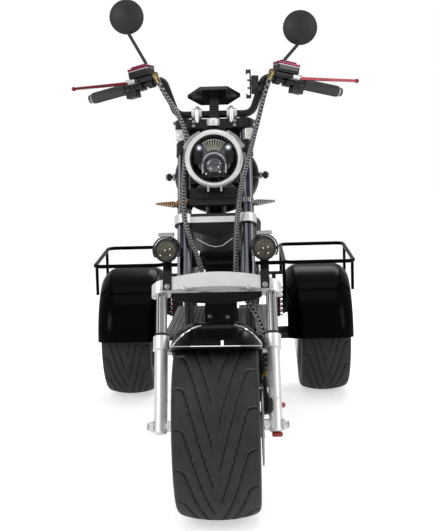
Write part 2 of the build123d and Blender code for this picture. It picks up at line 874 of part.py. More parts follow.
with BuildPart() as grips:
    with BuildSketch(along_grip(0)):
        Circle(grip_radius)
        Circle(bar_radius + seat_gap, mode=Mode.SUBTRACT)
    extrude(amount=grip_length)
    with BuildSketch(along_grip(0)):
        Circle(grip_flange_radius)
        Circle(bar_radius + seat_gap, mode=Mode.SUBTRACT)
    extrude(amount=grip_flange_length)
    with BuildSketch(along_grip(grip_length + bar_end_length)):
        Circle(bar_radius + grip_flange_length / 2)
    extrude(amount=grip_flange_length)
    mirror(about=Plane.YZ)

switch_at = -switch_length - laid_gap
with BuildPart() as switch_boxes:
    with BuildSketch(along_grip(switch_at)):
        Circle(bar_radius + switch_ring)
        with Locations((-bar_radius - switch_ring, 0)):
            Rectangle(switch_box_height, switch_box_depth)
        Circle(bar_radius + seat_gap, mode=Mode.SUBTRACT)
    extrude(amount=switch_length)
    mirror(about=Plane.YZ)

perch_at = switch_at - perch_width - laid_gap
with BuildPart() as lever_clamps:
    reservoir_mid = reservoir_lift + reservoir_height / 2
    with BuildSketch(along_grip(perch_at)):
        Circle(bar_radius + perch_ring)
        with Locations((reservoir_lift / 2 + bar_radius / 2, reservoir_width / 4)):
            Rectangle(reservoir_lift, reservoir_width / 2)
        with Locations((bar_radius / 2, reservoir_width / 2 + lever_width / 2)):
            Rectangle(bar_radius, reservoir_width + lever_width)
        Circle(bar_radius + seat_gap, mode=Mode.SUBTRACT)
    extrude(amount=perch_width)
    with BuildSketch(along_grip(perch_at + perch_width - reservoir_length)):
        with Locations((reservoir_mid, reservoir_width / 2)):
            Rectangle(reservoir_height, reservoir_width)
    extrude(amount=reservoir_length)
    with BuildSketch(along_grip(perch_at + perch_width - reservoir_length - reservoir_lip)):
        with Locations((reservoir_lift + reservoir_height + reservoir_cap / 2, reservoir_width / 2)):
            Rectangle(reservoir_cap, reservoir_width + reservoir_lip * 2)
    extrude(amount=reservoir_length + reservoir_lip * 2)
    cap_corners = lever_clamps.edges().filter_by(lambda e: (e % 0).cross(along_grip(0).x_dir).length < cap_tilt_share)
    cap_corners = cap_corners.filter_by(lambda e: abs(e.length - reservoir_cap) < seat_gap)
    fillet(cap_corners, reservoir_cap)
    cylinder_at = perch_at + perch_width - cylinder_length
    with BuildSketch(along_grip(cylinder_at)):
        with Locations((cylinder_up, cylinder_forward)):
            Circle(cylinder_radius)
    extrude(amount=cylinder_length)
    mirror(about=Plane.YZ)

lever_plane = along_grip(perch_at)
lever_root = lever_plane.from_local_coords(
    Vector(bar_radius / 2, reservoir_width + lever_width / 2, perch_width + laid_gap * 2)
)
lever_tip = lever_root + grip_way * lever_length + Vector(0, 0, lever_rise)
lever_way = (lever_tip - lever_root).normalized()
lever_run = (lever_tip - lever_root).length
with BuildPart() as brake_levers:
    with BuildSketch(Plane(origin=lever_root, x_dir=lever_way, z_dir=lever_way.cross(lever_plane.y_dir))):
        with BuildLine():
            Polyline(
                (0, -lever_width / 2), (lever_run / 2, lever_thickness / 2 - lever_width),
                (lever_run, -lever_end_width / 2), (lever_run, lever_end_width / 2),
                (lever_run / 2, lever_thickness / 2), (0, lever_width / 2), close=True,
            )
        make_face()
    extrude(amount=lever_thickness / 2, both=True)
    with BuildSketch(Plane(origin=lever_tip, x_dir=lever_way, z_dir=lever_way.cross(lever_plane.y_dir))):
        with BuildLine():
            ball_side = Line((-lever_ball_radius, 0), (lever_ball_radius, 0))
            ThreePointArc(ball_side @ 0, (0, lever_ball_radius), ball_side @ 1)
        make_face()
    revolve(axis=Axis(lever_tip, lever_way))
    mirror(about=Plane.YZ)

# frame
head_low = lower_clamp_bottom + lower_clamp_height + head_play
head_high = upper_clamp_bottom - head_play


def frame_point(x, setback, z):
    """Place given from the front axle line and the road."""
    return Vector(x, at(setback), z)


# tank cover
with BuildPart() as tank_cover:
    for setback, share, sink in (
        (tank_front, tank_front_share, 0),
        (tank_widest - tank_broad_length / 2, tank_broad_share, 0),
        (tank_widest + tank_broad_length / 2, tank_broad_share, tank_rear_sink / 4),
        (tank_rear, tank_rear_share, tank_rear_sink),
    ):
        with BuildSketch(Plane(origin=(0, at(setback), tank_z - sink), x_dir=(1, 0, 0), z_dir=(0, 1, 0))):
            Ellipse(tank_half_width * share, tank_half_height * share)
    loft()

seat_floor_z = seat_top_z - seat_thickness
seat_rail_z = seat_floor_z - seat_rail_radius - laid_gap
spine_z = tank_z - tank_half_height - spine_radius - laid_gap
rail_outer = rear_fender_outer + laid_gap + rail_radius
rail_inner = rear_fender_inner - laid_gap - rail_radius
skirt_z = tyre_radius + rear_fender_radius - rear_fender_drop

with BuildPart() as main_frame:
    with BuildSketch(fork_plane(back=steering_offset, up=head_low)):
        Circle(head_tube_radius)
    extrude(amount=head_high - head_low)
    head_mid = fork_point(0, steering_offset, (head_low + head_high) / 2)
    upper = [
        Vector(frame_tube_radius, head_mid.Y, head_mid.Z),
        frame_point(frame_spread, frame_front, backbone_top_z),
        frame_point(frame_spread, frame_mid, frame_mid_z),
        frame_point(arm_spacing, frame_tail, frame_tail_z),
        frame_point(arm_spacing, loop_rear, loop_z),
    ]
    add(bent_tube(upper, (frame_front_bend, frame_mid_bend, frame_tail_bend), frame_tube_radius))
    frame_slope = (backbone_top_z - frame_mid_z) / (frame_mid - frame_front)
    lower = [
        frame_point(
            frame_spread, frame_front + frame_tube_radius, backbone_top_z - frame_tube_radius * frame_slope
        ),
        frame_point(frame_spread, cradle_front, cradle_z),
        frame_point(frame_spread, cradle_rear, cradle_z),
        frame_point(arm_spacing, frame_tail + frame_tube_radius * 4, frame_tail_z),
    ]
    add(bent_tube(lower, (cradle_bend, cradle_bend), cradle_radius))
    mirror(about=Plane.YZ)
    for setback, z in ((frame_mid, frame_mid_z), (seat_post_setback, frame_tail_z), (loop_rear, loop_z)):
        reach = frame_spread if setback == frame_mid else arm_spacing
        add(rod(frame_point(-reach, setback, z), frame_point(reach, setback, z), cross_tube_radius))
    for setback in (cradle_front + frame_tube_radius * 4, cradle_rear - frame_tube_radius * 4):
        cross_end = frame_point(frame_spread, setback, cradle_z)
        add(rod(frame_point(-frame_spread, setback, cradle_z), cross_end, cross_tube_radius))
    add(rod((0, at(spine_front), spine_z), (0, at(spine_rear), spine_z), spine_radius))
    with BuildSketch(Plane(origin=(0, at(spine_plate_setback), 0), x_dir=(1, 0, 0), z_dir=(0, -1, 0))):
        with Locations((0, spine_z)):
            Rectangle(frame_spread * 2, spine_plate_height)
    extrude(amount=plate_thickness)
    for side in (-1, 1):
        rail_foot = frame_point(side * seat_rail_spacing, frame_mid - cross_tube_radius / 2, seat_rail_z)
        rail_end = frame_point(side * seat_rail_spacing, seat_rail_rear, seat_rail_z)
        add(rod(rail_foot, rail_end, seat_rail_radius))
        post_top = frame_point(side * seat_rail_spacing, seat_post_setback, seat_rail_z)
        post_low = frame_point(side * seat_rail_spacing, seat_post_setback, frame_tail_z - laid_gap)
        add(rod(post_top, post_low, seat_post_radius))
        stay_z = skirt_z + stay_radius / 2
        stay_end = frame_point(side * (rear_fender_inner - laid_gap), wheelbase, stay_z)
        add(rod(frame_point(0, wheelbase, stay_z), stay_end, stay_radius))
        post_low = frame_point(side * arm_spacing, rail_front, frame_tail_z)
        post_top = frame_point(side * arm_spacing, rail_front, rail_z - rail_radius - laid_gap)
        add(rod(post_low, post_top, stay_radius))
    add(tank_cover.part, mode=Mode.SUBTRACT)
    with BuildSketch(fork_plane(back=steering_offset, up=head_low - cut_over)):
        Circle(stem_radius + running_gap)
    extrude(amount=head_high - head_low + cut_over * 2, mode=Mode.SUBTRACT)

# saddle, battery case and floorboards
with BuildPart() as tank_pegs:
    peg_x = tank_half_width * peg_root_share
    with BuildSketch(side_view(peg_x, at(peg_setback), tank_z)):
        Circle(peg_radius)
    extrude(amount=peg_length)
    with BuildSketch(side_view(peg_x + peg_length, at(peg_setback), tank_z)):
        Circle(peg_cap_radius)
    extrude(amount=peg_cap_length)
    mirror(about=Plane.YZ)
    add(tank_cover.part, mode=Mode.SUBTRACT)

seat_length = seat_rear - seat_nose
with BuildPart() as seat:
    with BuildSketch(Plane.XY.offset(seat_floor_z)):
        with BuildLine():
            nose = ThreePointArc(
                (-seat_nose_half * seat_corner_share, at(seat_nose + seat_nose_half)), (0, at(seat_nose)),
                (seat_nose_half * seat_corner_share, at(seat_nose + seat_nose_half)),
            )
            right = Line(nose @ 1, (seat_half_width, at(seat_rear - seat_length * seat_broad_share)))
            left = Line(nose @ 0, (-seat_half_width, at(seat_rear - seat_length * seat_broad_share)))
            tail = ThreePointArc(
                (-seat_half_width * seat_corner_share, at(seat_rear - seat_half_width / 2)), (0, at(seat_rear)),
                (seat_half_width * seat_corner_share, at(seat_rear - seat_half_width / 2)),
            )
            Line(right @ 1, tail @ 1)
            Line(left @ 1, tail @ 0)
        make_face()
    extrude(amount=seat_thickness)
    fillet(seat.faces().sort_by(Axis.Z)[-1].edges(), seat_thickness / 4)

case_bottom_z = cradle_z + cradle_radius + laid_gap
tunnel_top_z = frame_mid_z - cross_tube_radius - laid_gap
with BuildPart() as battery_case:
    with BuildSketch(Plane(origin=(0, at((case_front + case_rear) / 2), case_bottom_z))):
        Rectangle(case_half_width * 2, case_rear - case_front)
    extrude(amount=deck_z - board_thickness - case_bottom_z)
    with BuildSketch(side_view(-tunnel_half_width, 0, 0)):
        with BuildLine():
            Polyline(
                (at(case_front), deck_z - board_thickness), (at(case_front), deck_z + board_thickness),
                (at(tunnel_peak), tunnel_top_z), (at(tunnel_rear), tunnel_top_z - tunnel_round),
                (at(tunnel_rear), deck_z - board_thickness), close=True,
            )
        make_face()
    extrude(amount=tunnel_half_width * 2)

with BuildPart() as floorboards:
    with BuildSketch(Plane.XY.offset(deck_z - board_thickness)):
        with Locations(((board_inner + board_outer) / 2, at((board_front + board_rear) / 2))):
            RectangleRounded(board_outer - board_inner, board_rear - board_front, board_corner_radius)
    extrude(amount=board_thickness)
    rib_pitch = (board_outer - board_inner) / (rib_count + 1)
    with BuildSketch(Plane.XY.offset(deck_z)):
        for rib in range(1, rib_count + 1):
            with Locations((board_inner + rib * rib_pitch, at((board_front + board_rear) / 2))):
                Rectangle(rib_width, board_rear - board_front - board_thickness * 4)
    extrude(amount=rib_height)
    with BuildSketch(Plane.XY.offset(deck_z + rib_height + cut_over)):
        with Locations((frame_spread, at(cradle_front))):
            Rectangle((cradle_radius + laid_gap) * 2, (cradle_radius + laid_gap) * 4)
    extrude(amount=-board_thickness - rib_height - cut_over * 2, mode=Mode.SUBTRACT)
    mirror(about=Plane.YZ)

# rear axle with its motor, arms and shock absorbers
beam_half = rear_disc_x - disc_room * 3
stub_half = rear_x + hub_radius * 2 + nut_height
with BuildPart() as rear_axle_beam:
    motor_half = motor_length / 2
    for half, radius in ((beam_half, beam_radius), (motor_half, motor_radius), (stub_half, stub_radius)):
        with BuildSketch(side_view(-half, rear_y, tyre_radius)):
            Circle(radius)
        extrude(amount=half * 2)
    for side in (-1, 1):
        with BuildSketch(side_view(side * (rear_x + hub_radius * 2 + running_gap), rear_y, tyre_radius, side)):
            RegularPolygon(stub_nut_radius, 6)
        extrude(amount=nut_height)
        arm_x = side * (frame_spread + cradle_radius + disc_room + arm_radius)
        add(rod(frame_point(arm_x, pivot_setback, cradle_z), (arm_x, rear_y, tyre_radius), arm_radius))
        pin = pivot_setback + arm_radius * 2
        pin_z = cradle_z + (tyre_radius - cradle_z) * (pin - pivot_setback) / (wheelbase - pivot_setback)
        pin_start = frame_point(side * (frame_spread + cradle_radius + laid_gap), pin, pin_z)
        add(rod(pin_start, frame_point(arm_x, pin, pin_z), pivot_radius))

with BuildPart() as shock_absorbers:
    for side in (-1, 1):
        foot = Vector(side * shock_spacing, rear_y, tyre_radius + beam_radius + laid_gap)
        top = Vector(side * shock_spacing, rear_y, skirt_z - stay_radius / 2 - laid_gap)
        add(rod(foot, top, shock_rod_radius))
        run = top - foot
        add(rod(foot + run * shock_foot_share, foot + run * shock_top_share, shock_radius))

rear_half = (rear_fender_outer - rear_fender_inner) / 2
rear_mid = (rear_fender_outer + rear_fender_inner) / 2
rear_section = fender_section(
    rear_fender_radius, rear_fender_drop, rear_half, rear_half / 2, rear_fender_wall
)
rear_fenders = {}
for side, name in ((-1, "left"), (1, "right")):
    rear_fenders["rear_fender_" + name] = fender(
        (side * rear_mid, rear_y, tyre_radius), rear_section, rear_fender_front_deg, rear_fender_rear_deg
    )

with BuildPart() as fender_rails:
    loop = [
        Vector(rail_inner, at(rail_front), rail_z),
        Vector(rail_outer, at(rail_front), rail_z),
        Vector(rail_outer, at(rail_rear), rail_rear_z),
        Vector(rail_inner, at(rail_rear), rail_rear_z),
    ]
    with BuildLine() as rail_path:
        FilletPolyline(*loop, radius=rail_bend, close=True)
    with BuildSketch(Plane(origin=rail_path.line @ 0, z_dir=rail_path.line % 0)):
        Circle(rail_radius)
    sweep(path=rail_path.line)
    for x in (rail_inner, rail_outer):
        for setback, z in ((rail_front + rail_bend * 2, rail_z), (rail_rear - rail_bend * 2, rail_rear_z)):
            add(rod(Vector(x, at(setback), z), Vector(x, at(setback), z - rail_leg), rail_leg_radius))
    mirror(about=Plane.YZ)
    rail_start = Vector(-rail_inner, at(rail_front), rail_z)
    add(rod(rail_start, Vector(rail_inner, at(rail_front), rail_z), rail_radius))

with BuildPart() as tail_lamp:
    tail_y = at(loop_rear) + cross_tube_radius + laid_gap
    with BuildSketch(Plane(origin=(0, tail_y, loop_z), x_dir=(1, 0, 0), z_dir=(0, 1, 0))):
        RectangleRounded(tail_width, tail_height, tail_height / 4)
    extrude(amount=tail_depth)

with BuildPart() as display:
    post_back = -bar_radius - laid_gap - display_post_thickness / 2
    with BuildSketch(fork_plane(back=post_back, up=upper_clamp_bottom + clamp_height)):
        Circle(display_foot_radius)
    extrude(amount=display_foot_height)
    with BuildSketch(fork_plane(back=post_back, up=upper_clamp_bottom + clamp_height)):
        Rectangle(display_post_width, display_post_thickness)
    extrude(amount=display_post_rise)
    head = fork_point(0, post_back, upper_clamp_bottom + clamp_height + display_post_rise)
    lean = radians(display_lean_deg)
    with BuildSketch(Plane(origin=head, x_dir=(1, 0, 0), z_dir=(0, -sin(lean), -cos(lean)))):
        with BuildLine():
            Polyline(
                (-display_width / 2, 0), (display_corner - display_width / 2, display_depth / 2),
                (display_width / 2 - display_corner, display_depth / 2),
                (display_width / 2, 0), (display_width / 2 - display_corner, -display_depth / 2),
                (display_corner - display_width / 2, -display_depth / 2), close=True,
            )
        make_face()
    extrude(amount=-display_thickness)



def lock_ring(plane):
    """Split clamp ring of a mirror on the bar."""
    with BuildPart() as ring:
        with BuildSketch(plane):
            Circle(bar_radius + perch_ring)
            Circle(bar_radius + seat_gap, mode=Mode.SUBTRACT)
        extrude(amount=mirror_clamp_width)
    return ring.part


with BuildPart() as mirrors:
    for side in (-1, 1):
        clamp_plane = along_grip(perch_at - mirror_clamp_at)
        socket_back = -bar_radius - laid_gap + mirror_socket_radius / 4
        clamp_mid = mirror_clamp_width / 2
        foot = clamp_plane.from_local_coords(Vector(bar_radius + perch_ring / 2, socket_back, clamp_mid))
        top = clamp_plane.from_local_coords(Vector(reservoir_mid, socket_back, clamp_mid))
        glass_mid = bar_point(mirror_spread, mirror_back, mirror_rise - side * mirror_stagger)
        stem_top = glass_mid - Vector(0, mirror_rim, mirror_radius * mirror_stem_share)
        ring = lock_ring(clamp_plane) if side > 0 else lock_ring(clamp_plane).mirror(Plane.YZ)
        add(ring)
        foot, top, stem_top, glass_mid = (Vector(side * spot.X, spot.Y, spot.Z) for spot in (foot, top, stem_top, glass_mid))
        add(rod(foot, top, mirror_socket_radius))
        add(rod(top, stem_top, mirror_stem_radius))
        with BuildSketch(Plane(origin=glass_mid, x_dir=(1, 0, 0), z_dir=(0, 0, 1))):
            with BuildLine():
                apex = -mirror_rim - mirror_dome
                face = Polyline((0, apex), (0, 0), (mirror_radius, 0), (mirror_radius, -mirror_rim))
                dome_y = -mirror_rim - mirror_dome * (1 - mirror_bulge_share ** 2)
                ThreePointArc(face @ 1, (mirror_radius * mirror_bulge_share, dome_y), face @ 0)
            make_face()
        revolve(axis=Axis(glass_mid, (0, 1, 0)))

bar_knee = bar_point(bar_low_half, 0, 0)
bar_rising = (bar_high - bar_knee).normalized()
holder_foot = bar_knee + (bar_high - bar_knee) * holder_share
holder_spine = holder_foot + Vector(-holder_reach, 0, holder_height * holder_lift_share)
with BuildPart() as holder_clip:
    with BuildSketch(Plane(origin=holder_foot, z_dir=bar_rising)):
        Circle(bar_radius + perch_ring)
    extrude(amount=holder_width / 2, both=True)
    with BuildSketch(facing_front(holder_spine.X, holder_spine.Y + holder_width / 2, holder_spine.Z)):
        Rectangle(holder_wall, holder_height)
        for end in (-1, 1):
            with Locations((-holder_hook / 2, end * (holder_height - holder_wall) / 2)):
                Rectangle(holder_hook, holder_wall)
            with Locations((-holder_hook + holder_wall / 2, end * (holder_height / 2 - holder_hook / 2))):
                Rectangle(holder_wall, holder_hook)
    extrude(amount=holder_width)
    arm_start = holder_foot + Vector(0, 0, holder_wall)
    add(rod(arm_start, holder_spine + Vector(0, 0, holder_wall * 2), holder_arm_radius))
    with BuildSketch(Plane(origin=holder_foot, z_dir=bar_rising)):
        Circle(bar_radius + seat_gap)
    extrude(amount=holder_height, both=True, mode=Mode.SUBTRACT)

# brake calipers straddle their discs and hang on a bracket plate
def make_bracket(x, wheel_y, start, end):
    """Round-ended plate between two places seen from the side."""
    with BuildPart() as bracket:
        with BuildSketch(side_view(x, wheel_y, tyre_radius)):
            for spot in (start, end):
                with Locations(spot):
                    Circle(caliper_height / 2)
            make_hull()
        extrude(amount=caliper_wall)
    return bracket.part


leg_lean = tan(radians(rake_deg))
front_caliper_back = disc_radius * front_caliper_back_share
front_caliper_up = disc_radius * front_caliper_up_share
front_inner = front_disc_x - disc_room - caliper_wall
front_outer = front_disc_x + disc_thickness + disc_room + caliper_wall
with BuildPart() as front_caliper:
    with BuildSketch(side_view(front_inner, axle_y + front_caliper_back, tyre_radius + front_caliper_up)):
        RectangleRounded(caliper_height, caliper_length, caliper_height / 4)
    extrude(amount=front_outer - front_inner)
    with BuildSketch(side_view(front_disc_x - disc_room, axle_y, tyre_radius)):
        Circle(disc_radius + disc_room)
    extrude(amount=disc_thickness + disc_room * 2, mode=Mode.SUBTRACT)
    on_leg = (front_caliper_up * leg_lean, front_caliper_up)
    add(make_bracket(front_outer, axle_y, (front_caliper_back, front_caliper_up), on_leg))
    with BuildSketch(fork_plane(up=-leg_foot - cut_over)):
        with Locations((leg_spacing, 0)):
            Circle(leg_radius + seat_gap)
    extrude(amount=leg_top, mode=Mode.SUBTRACT)

rear_inner = rear_disc_x - disc_room - caliper_wall
rear_caliper_offset = disc_radius * rear_caliper_share
with BuildPart() as rear_calipers:
    with BuildSketch(side_view(rear_inner, rear_y - rear_caliper_offset, tyre_radius + rear_caliper_offset)):
        RectangleRounded(caliper_length, caliper_height, caliper_height / 4)
    extrude(amount=disc_thickness + disc_room * 2 + caliper_wall * 2)
    with BuildSketch(side_view(rear_disc_x - disc_room, rear_y, tyre_radius)):
        Circle(disc_radius + disc_room)
    extrude(amount=disc_thickness + disc_room * 2, mode=Mode.SUBTRACT)
    add(make_bracket(rear_inner - caliper_wall, rear_y, (-rear_caliper_offset, rear_caliper_offset), (0, 0)))
    with BuildSketch(side_view(0, rear_y, tyre_radius)):
        Circle(beam_radius + seat_gap)
    extrude(amount=rear_disc_x, mode=Mode.SUBTRACT)
    mirror(about=Plane.YZ)

# brake hoses: from the two master cylinders down in front of the fork, behind the bridge and to the caliper
# each point is a share of the tube spacing, of the lamp's reach and of the height between the clamps
right_route_shares = (
    (1.727, -0.269, 1.389), (1.545, -0.397, 1.152), (1.364, -0.597, 0.902), (1.205, -0.825, 0.685),
    (1.08, -1, 0.507), (0.932, -0.912, 0.37), (0.83, -0.704, 0.264), (0.761, -0.5, 0.153),
    (0.705, -0.39, 0.031), (0.659, -0.279, -0.092), (0.636, -0.08, -0.229), (0.614, 0.2, -0.356), (0.602, 0.4, -0.49),
    (0.818, 0.46, -0.638), (1.227, 0.373, -0.844), (1.477, 0.3, -1.05), (1.477, 0.303, -1.324),
)
left_route_shares = (
    (-1.705, -0.269, 1.418), (-1.386, -0.346, 1.235), (-1.102, -0.565, 1.049), (-0.909, -0.677, 0.881),
    (-0.898, -0.593, 0.725), (-0.97, -0.465, 0.575), (-1.011, -0.4, 0.402), (-1.023, -0.385, 0.231),
    (-1, -0.41, 0.079), (-0.92, -0.4, -0.067), (-0.79, -0.28, -0.188), (-0.62, -0.04, -0.291),
    (-0.5, 0.2, -0.385), (-0.43, 0.38, -0.49),
)


def route_point(shares):
    """Place on a hose's route from its shares."""
    rise = upper_clamp_bottom - lower_clamp_bottom
    return fork_point(tube_spacing * shares[0], lamp_forward * shares[1], lower_clamp_bottom + rise * shares[2])


def hose(points):
    """Round hose along its route, each bend as large as its two runs allow; the radii are printed."""
    radii = []
    for before, here, after in zip(points, points[1:], points[2:]):
        arriving = here - before
        leaving = after - here
        half_turn = radians(arriving.get_angle(leaving)) / 2
        radii.append(min(arriving.length, leaving.length) * hose_turn_share / tan(half_turn))
    print("hose bends, in diameters:", [round(radius / hose_radius / 2, 1) for radius in radii])
    return bent_tube(points, radii, hose_radius)


barrel_end = along_grip(cylinder_at).from_local_coords(Vector(cylinder_up, cylinder_forward, 0))
banjo_mid = barrel_end - grip_way * banjo_length / 2
caliper_top_z = tyre_radius + front_caliper_up + caliper_length / 2
caliper_top = Vector(front_outer - caliper_wall / 2, axle_y + front_caliper_back, caliper_top_z)
fork_up = fork_plane().z_dir
fitting_top = caliper_top + fork_up * fitting_length
block_up = bridge_bottom + bridge_height / 2
block_x = -tube_spacing * left_hose_end_share
block_back = bridge_depth / 2 + hose_block_depth / 2
block_top = fork_point(block_x, block_back, block_up + hose_block_height / 2)
banjo_end = barrel_end - grip_way * banjo_length
with BuildPart() as brake_hoses:
    for side in (-1, 1):
        start = (side * barrel_end.X, barrel_end.Y, barrel_end.Z)
        add(rod(start, (side * banjo_end.X, banjo_end.Y, banjo_end.Z), banjo_radius))
    right_route = [route_point(shares) for shares in right_route_shares]
    add(hose([banjo_mid] + right_route + [fitting_top]))
    add(rod(fitting_top + fork_up * fitting_radius, caliper_top - fork_up * fitting_radius, fitting_radius))
    left_start = Vector(-banjo_mid.X, banjo_mid.Y, banjo_mid.Z)
    left_route = [route_point(shares) for shares in left_route_shares]
    add(hose([left_start] + left_route + [block_top - fork_up * hose_radius]))
    with BuildSketch(fork_plane(x=block_x, back=block_back, up=block_up - hose_block_height / 2)):
        Rectangle(hose_block_width, hose_block_depth)
    extrude(amount=hose_block_height)
    add(front_caliper.part, mode=Mode.SUBTRACT)

for piece, name in (
    (front_tyre, "front_tyre"), (front_rim, "front_rim"), (front_disc, "front_disc"),
    (fork_tubes, "fork_tubes"), (lower_clamp, "lower_clamp"), (upper_clamp, "upper_clamp"),
    (bridge_plate, "bridge_plate"), (fork_stanchions, "fork_stanchions"), (fork_legs, "fork_legs"),
    (front_axle, "front_axle"), (front_fender, "front_fender"), (headlight_housing, "headlight_housing"),
    (headlight_unit, "headlight_unit"), (headlight_lens, "headlight_lens"),
    (headlight_bracket, "headlight_bracket"), (fork_shroud, "fork_shroud"), (spotlights, "spotlights"),
    (front_signals, "front_signals"), (handlebar, "handlebar"), (bar_risers, "bar_risers"),
    (grips, "grips"), (switch_boxes, "switch_boxes"), (lever_clamps, "lever_clamps"),
    (brake_levers, "brake_levers"), (main_frame, "main_frame"), (tank_cover, "tank_cover"),
    (tank_pegs, "tank_pegs"), (seat, "seat"), (battery_case, "battery_case"), (floorboards, "floorboards"),
    (rear_axle_beam, "rear_axle_beam"), (shock_absorbers, "shock_absorbers"),
    (fender_rails, "fender_rails"), (tail_lamp, "tail_lamp"), (display, "display"), (mirrors, "mirrors"),
    (front_caliper, "front_caliper"), (rear_calipers, "rear_calipers"), (brake_hoses, "brake_hoses"),
    (holder_clip, "holder_clip"),
):
    piece.part.label = name
    export_step(piece.part, "parts/" + name + ".step")
for name, piece in (rear_wheels | rear_fenders).items():
    piece.label = name
    export_step(piece, "parts/" + name + ".step")
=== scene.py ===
# %% [markdown]
# A three-wheeled electric scooter, dressed for the camera.
# The engineering model gives every hard part its true size and its joint. This notebook keeps that model as a
# fixed frame and adds what a drawing leaves out: paint, cast grain, tread, optics, stitching and small hardware.
# Everything is in metres, X to the right as seen from the front, Y to the rear and Z up.

# %% Load the frame
import json
from math import atan2, cos, pi, radians, sin, sqrt, tau

import bmesh
import bpy
from mathutils import Matrix, Vector
from mathutils.bvhtree import BVHTree
from mathutils.geometry import interpolate_bezier

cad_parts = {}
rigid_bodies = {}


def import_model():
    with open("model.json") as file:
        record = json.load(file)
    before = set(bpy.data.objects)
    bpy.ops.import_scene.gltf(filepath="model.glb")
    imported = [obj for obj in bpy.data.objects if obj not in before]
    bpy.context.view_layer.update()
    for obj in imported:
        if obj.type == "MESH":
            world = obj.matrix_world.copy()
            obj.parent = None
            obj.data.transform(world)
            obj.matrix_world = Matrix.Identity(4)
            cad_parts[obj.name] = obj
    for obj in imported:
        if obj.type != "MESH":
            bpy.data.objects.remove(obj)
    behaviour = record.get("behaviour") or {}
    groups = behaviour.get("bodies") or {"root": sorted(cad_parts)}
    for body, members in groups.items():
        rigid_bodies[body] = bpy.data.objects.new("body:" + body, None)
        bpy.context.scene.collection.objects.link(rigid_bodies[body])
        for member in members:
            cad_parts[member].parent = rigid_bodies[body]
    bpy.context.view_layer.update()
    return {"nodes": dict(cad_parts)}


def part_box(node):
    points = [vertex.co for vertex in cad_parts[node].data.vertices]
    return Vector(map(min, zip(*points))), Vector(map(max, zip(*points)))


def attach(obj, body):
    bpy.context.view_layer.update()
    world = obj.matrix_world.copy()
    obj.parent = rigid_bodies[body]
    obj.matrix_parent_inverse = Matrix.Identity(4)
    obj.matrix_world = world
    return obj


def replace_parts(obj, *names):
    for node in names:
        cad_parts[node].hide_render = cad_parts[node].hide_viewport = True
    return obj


for leftover in list(bpy.data.objects):
    bpy.data.objects.remove(leftover)
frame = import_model()

# %% [markdown]
# Rake is the angle at which a fork leans back. Half of this vehicle is built along that line, so a point is
# often easiest to give in the fork's own directions: sideways, back from the fork and up along it.
# A matrix with those directions as its columns turns such a point into a place in the scene.

# %% Places and directions
WHEEL_RADIUS = 0.238
FORK_RAKE = radians(27)
TUBE_X = 0.088  # of the upper tubes, either side of the middle
LEG_X = 0.150  # of the stanchions and the cast legs
low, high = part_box("front_tyre")
AXLE_Y = (low.y + high.y) / 2
low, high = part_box("rear_tyre_right")
REAR_Y = (low.y + high.y) / 2
REAR_X = (low.x + high.x) / 2


def axes(x_way, y_way, z_way, place):
    """A matrix with the given directions at the given place."""
    turn = Matrix((x_way, y_way, z_way)).transposed().to_4x4()
    return Matrix.Translation(place) @ turn


def on_fork(x=0.0, back=0.0, up=0.0):
    """Directions of the fork at a point of it: X sideways, Y backwards, Z up along the tubes."""
    backwards = Vector((0, cos(FORK_RAKE), -sin(FORK_RAKE)))
    upwards = Vector((0, sin(FORK_RAKE), cos(FORK_RAKE)))
    place = Vector((x, AXLE_Y, WHEEL_RADIUS)) + backwards * back + upwards * up
    return axes(Vector((1, 0, 0)), backwards, upwards, place)


def facing(place, way, up=(0, 0, 1)):
    """Directions at a place with Z along the given way."""
    z_way = Vector(way).normalized()
    x_way = Vector(up).cross(z_way)
    if x_way.length < 1e-4:
        x_way = Vector((1, 0, 0))
    x_way.normalize()
    return axes(x_way, z_way.cross(x_way), z_way, Vector(place))


print("front axle at y", round(AXLE_Y, 4), "rear axle at y", round(REAR_Y, 4))

# %% [markdown]
# The photograph was taken from straight ahead, a little above the seat, with a long lens.
# The camera stands where the outline of wheels, fenders and lamps agrees best with it.

# %% Camera
eye = bpy.data.cameras.new("eye")
eye.lens = 62.9
eye.sensor_width = 36
eye.clip_end = 50
camera = bpy.data.objects.new("eye", eye)
bpy.context.scene.collection.objects.link(camera)
camera.location = (0.074, -3.1053, 0.871)
camera_pitch, camera_yaw, camera_roll = radians(90 - 5.24), radians(1.42), radians(-1.5)
camera.matrix_world = (
    Matrix.Translation(camera.location)
    @ Matrix.Rotation(camera_yaw, 4, "Z")
    @ Matrix.Rotation(camera_pitch, 4, "X")
    @ Matrix.Rotation(camera_roll, 4, "Z")
)
bpy.context.scene.camera = camera
print("camera at", tuple(camera.location), "lens", eye.lens)

# %% [markdown]
# Studio light for chrome and gloss paint comes from large soft panels: their shape is what the metal shows.
# The floor is plain and pale. Rays from the camera see a white world. Every other ray, so light and reflections
# too, meets a dimmer room, which leaves the dark tones in the chrome.

# %% Floor, light and world
bpy.context.scene.view_settings.view_transform = "Standard"
FLOOR_HALF = 9
FLOOR_GREY = 0.86
FLOOR_GLOW = 0.25  # for light and reflections
SEEN_FLOOR = 0.55  # for the camera
ROOM_LIGHT = 0.55


def lamp(name, place, target, size, power):
    """A soft rectangular panel of light aimed at a target."""
    light = bpy.data.lights.new(name, "AREA")
    light.shape = "RECTANGLE"
    light.size, light.size_y = size
    light.energy = power
    panel = bpy.data.objects.new(name, light)
    bpy.context.scene.collection.objects.link(panel)
    way = Vector(target) - Vector(place)
    panel.matrix_world = Matrix.Translation(place) @ way.to_track_quat("-Z", "Y").to_matrix().to_4x4()


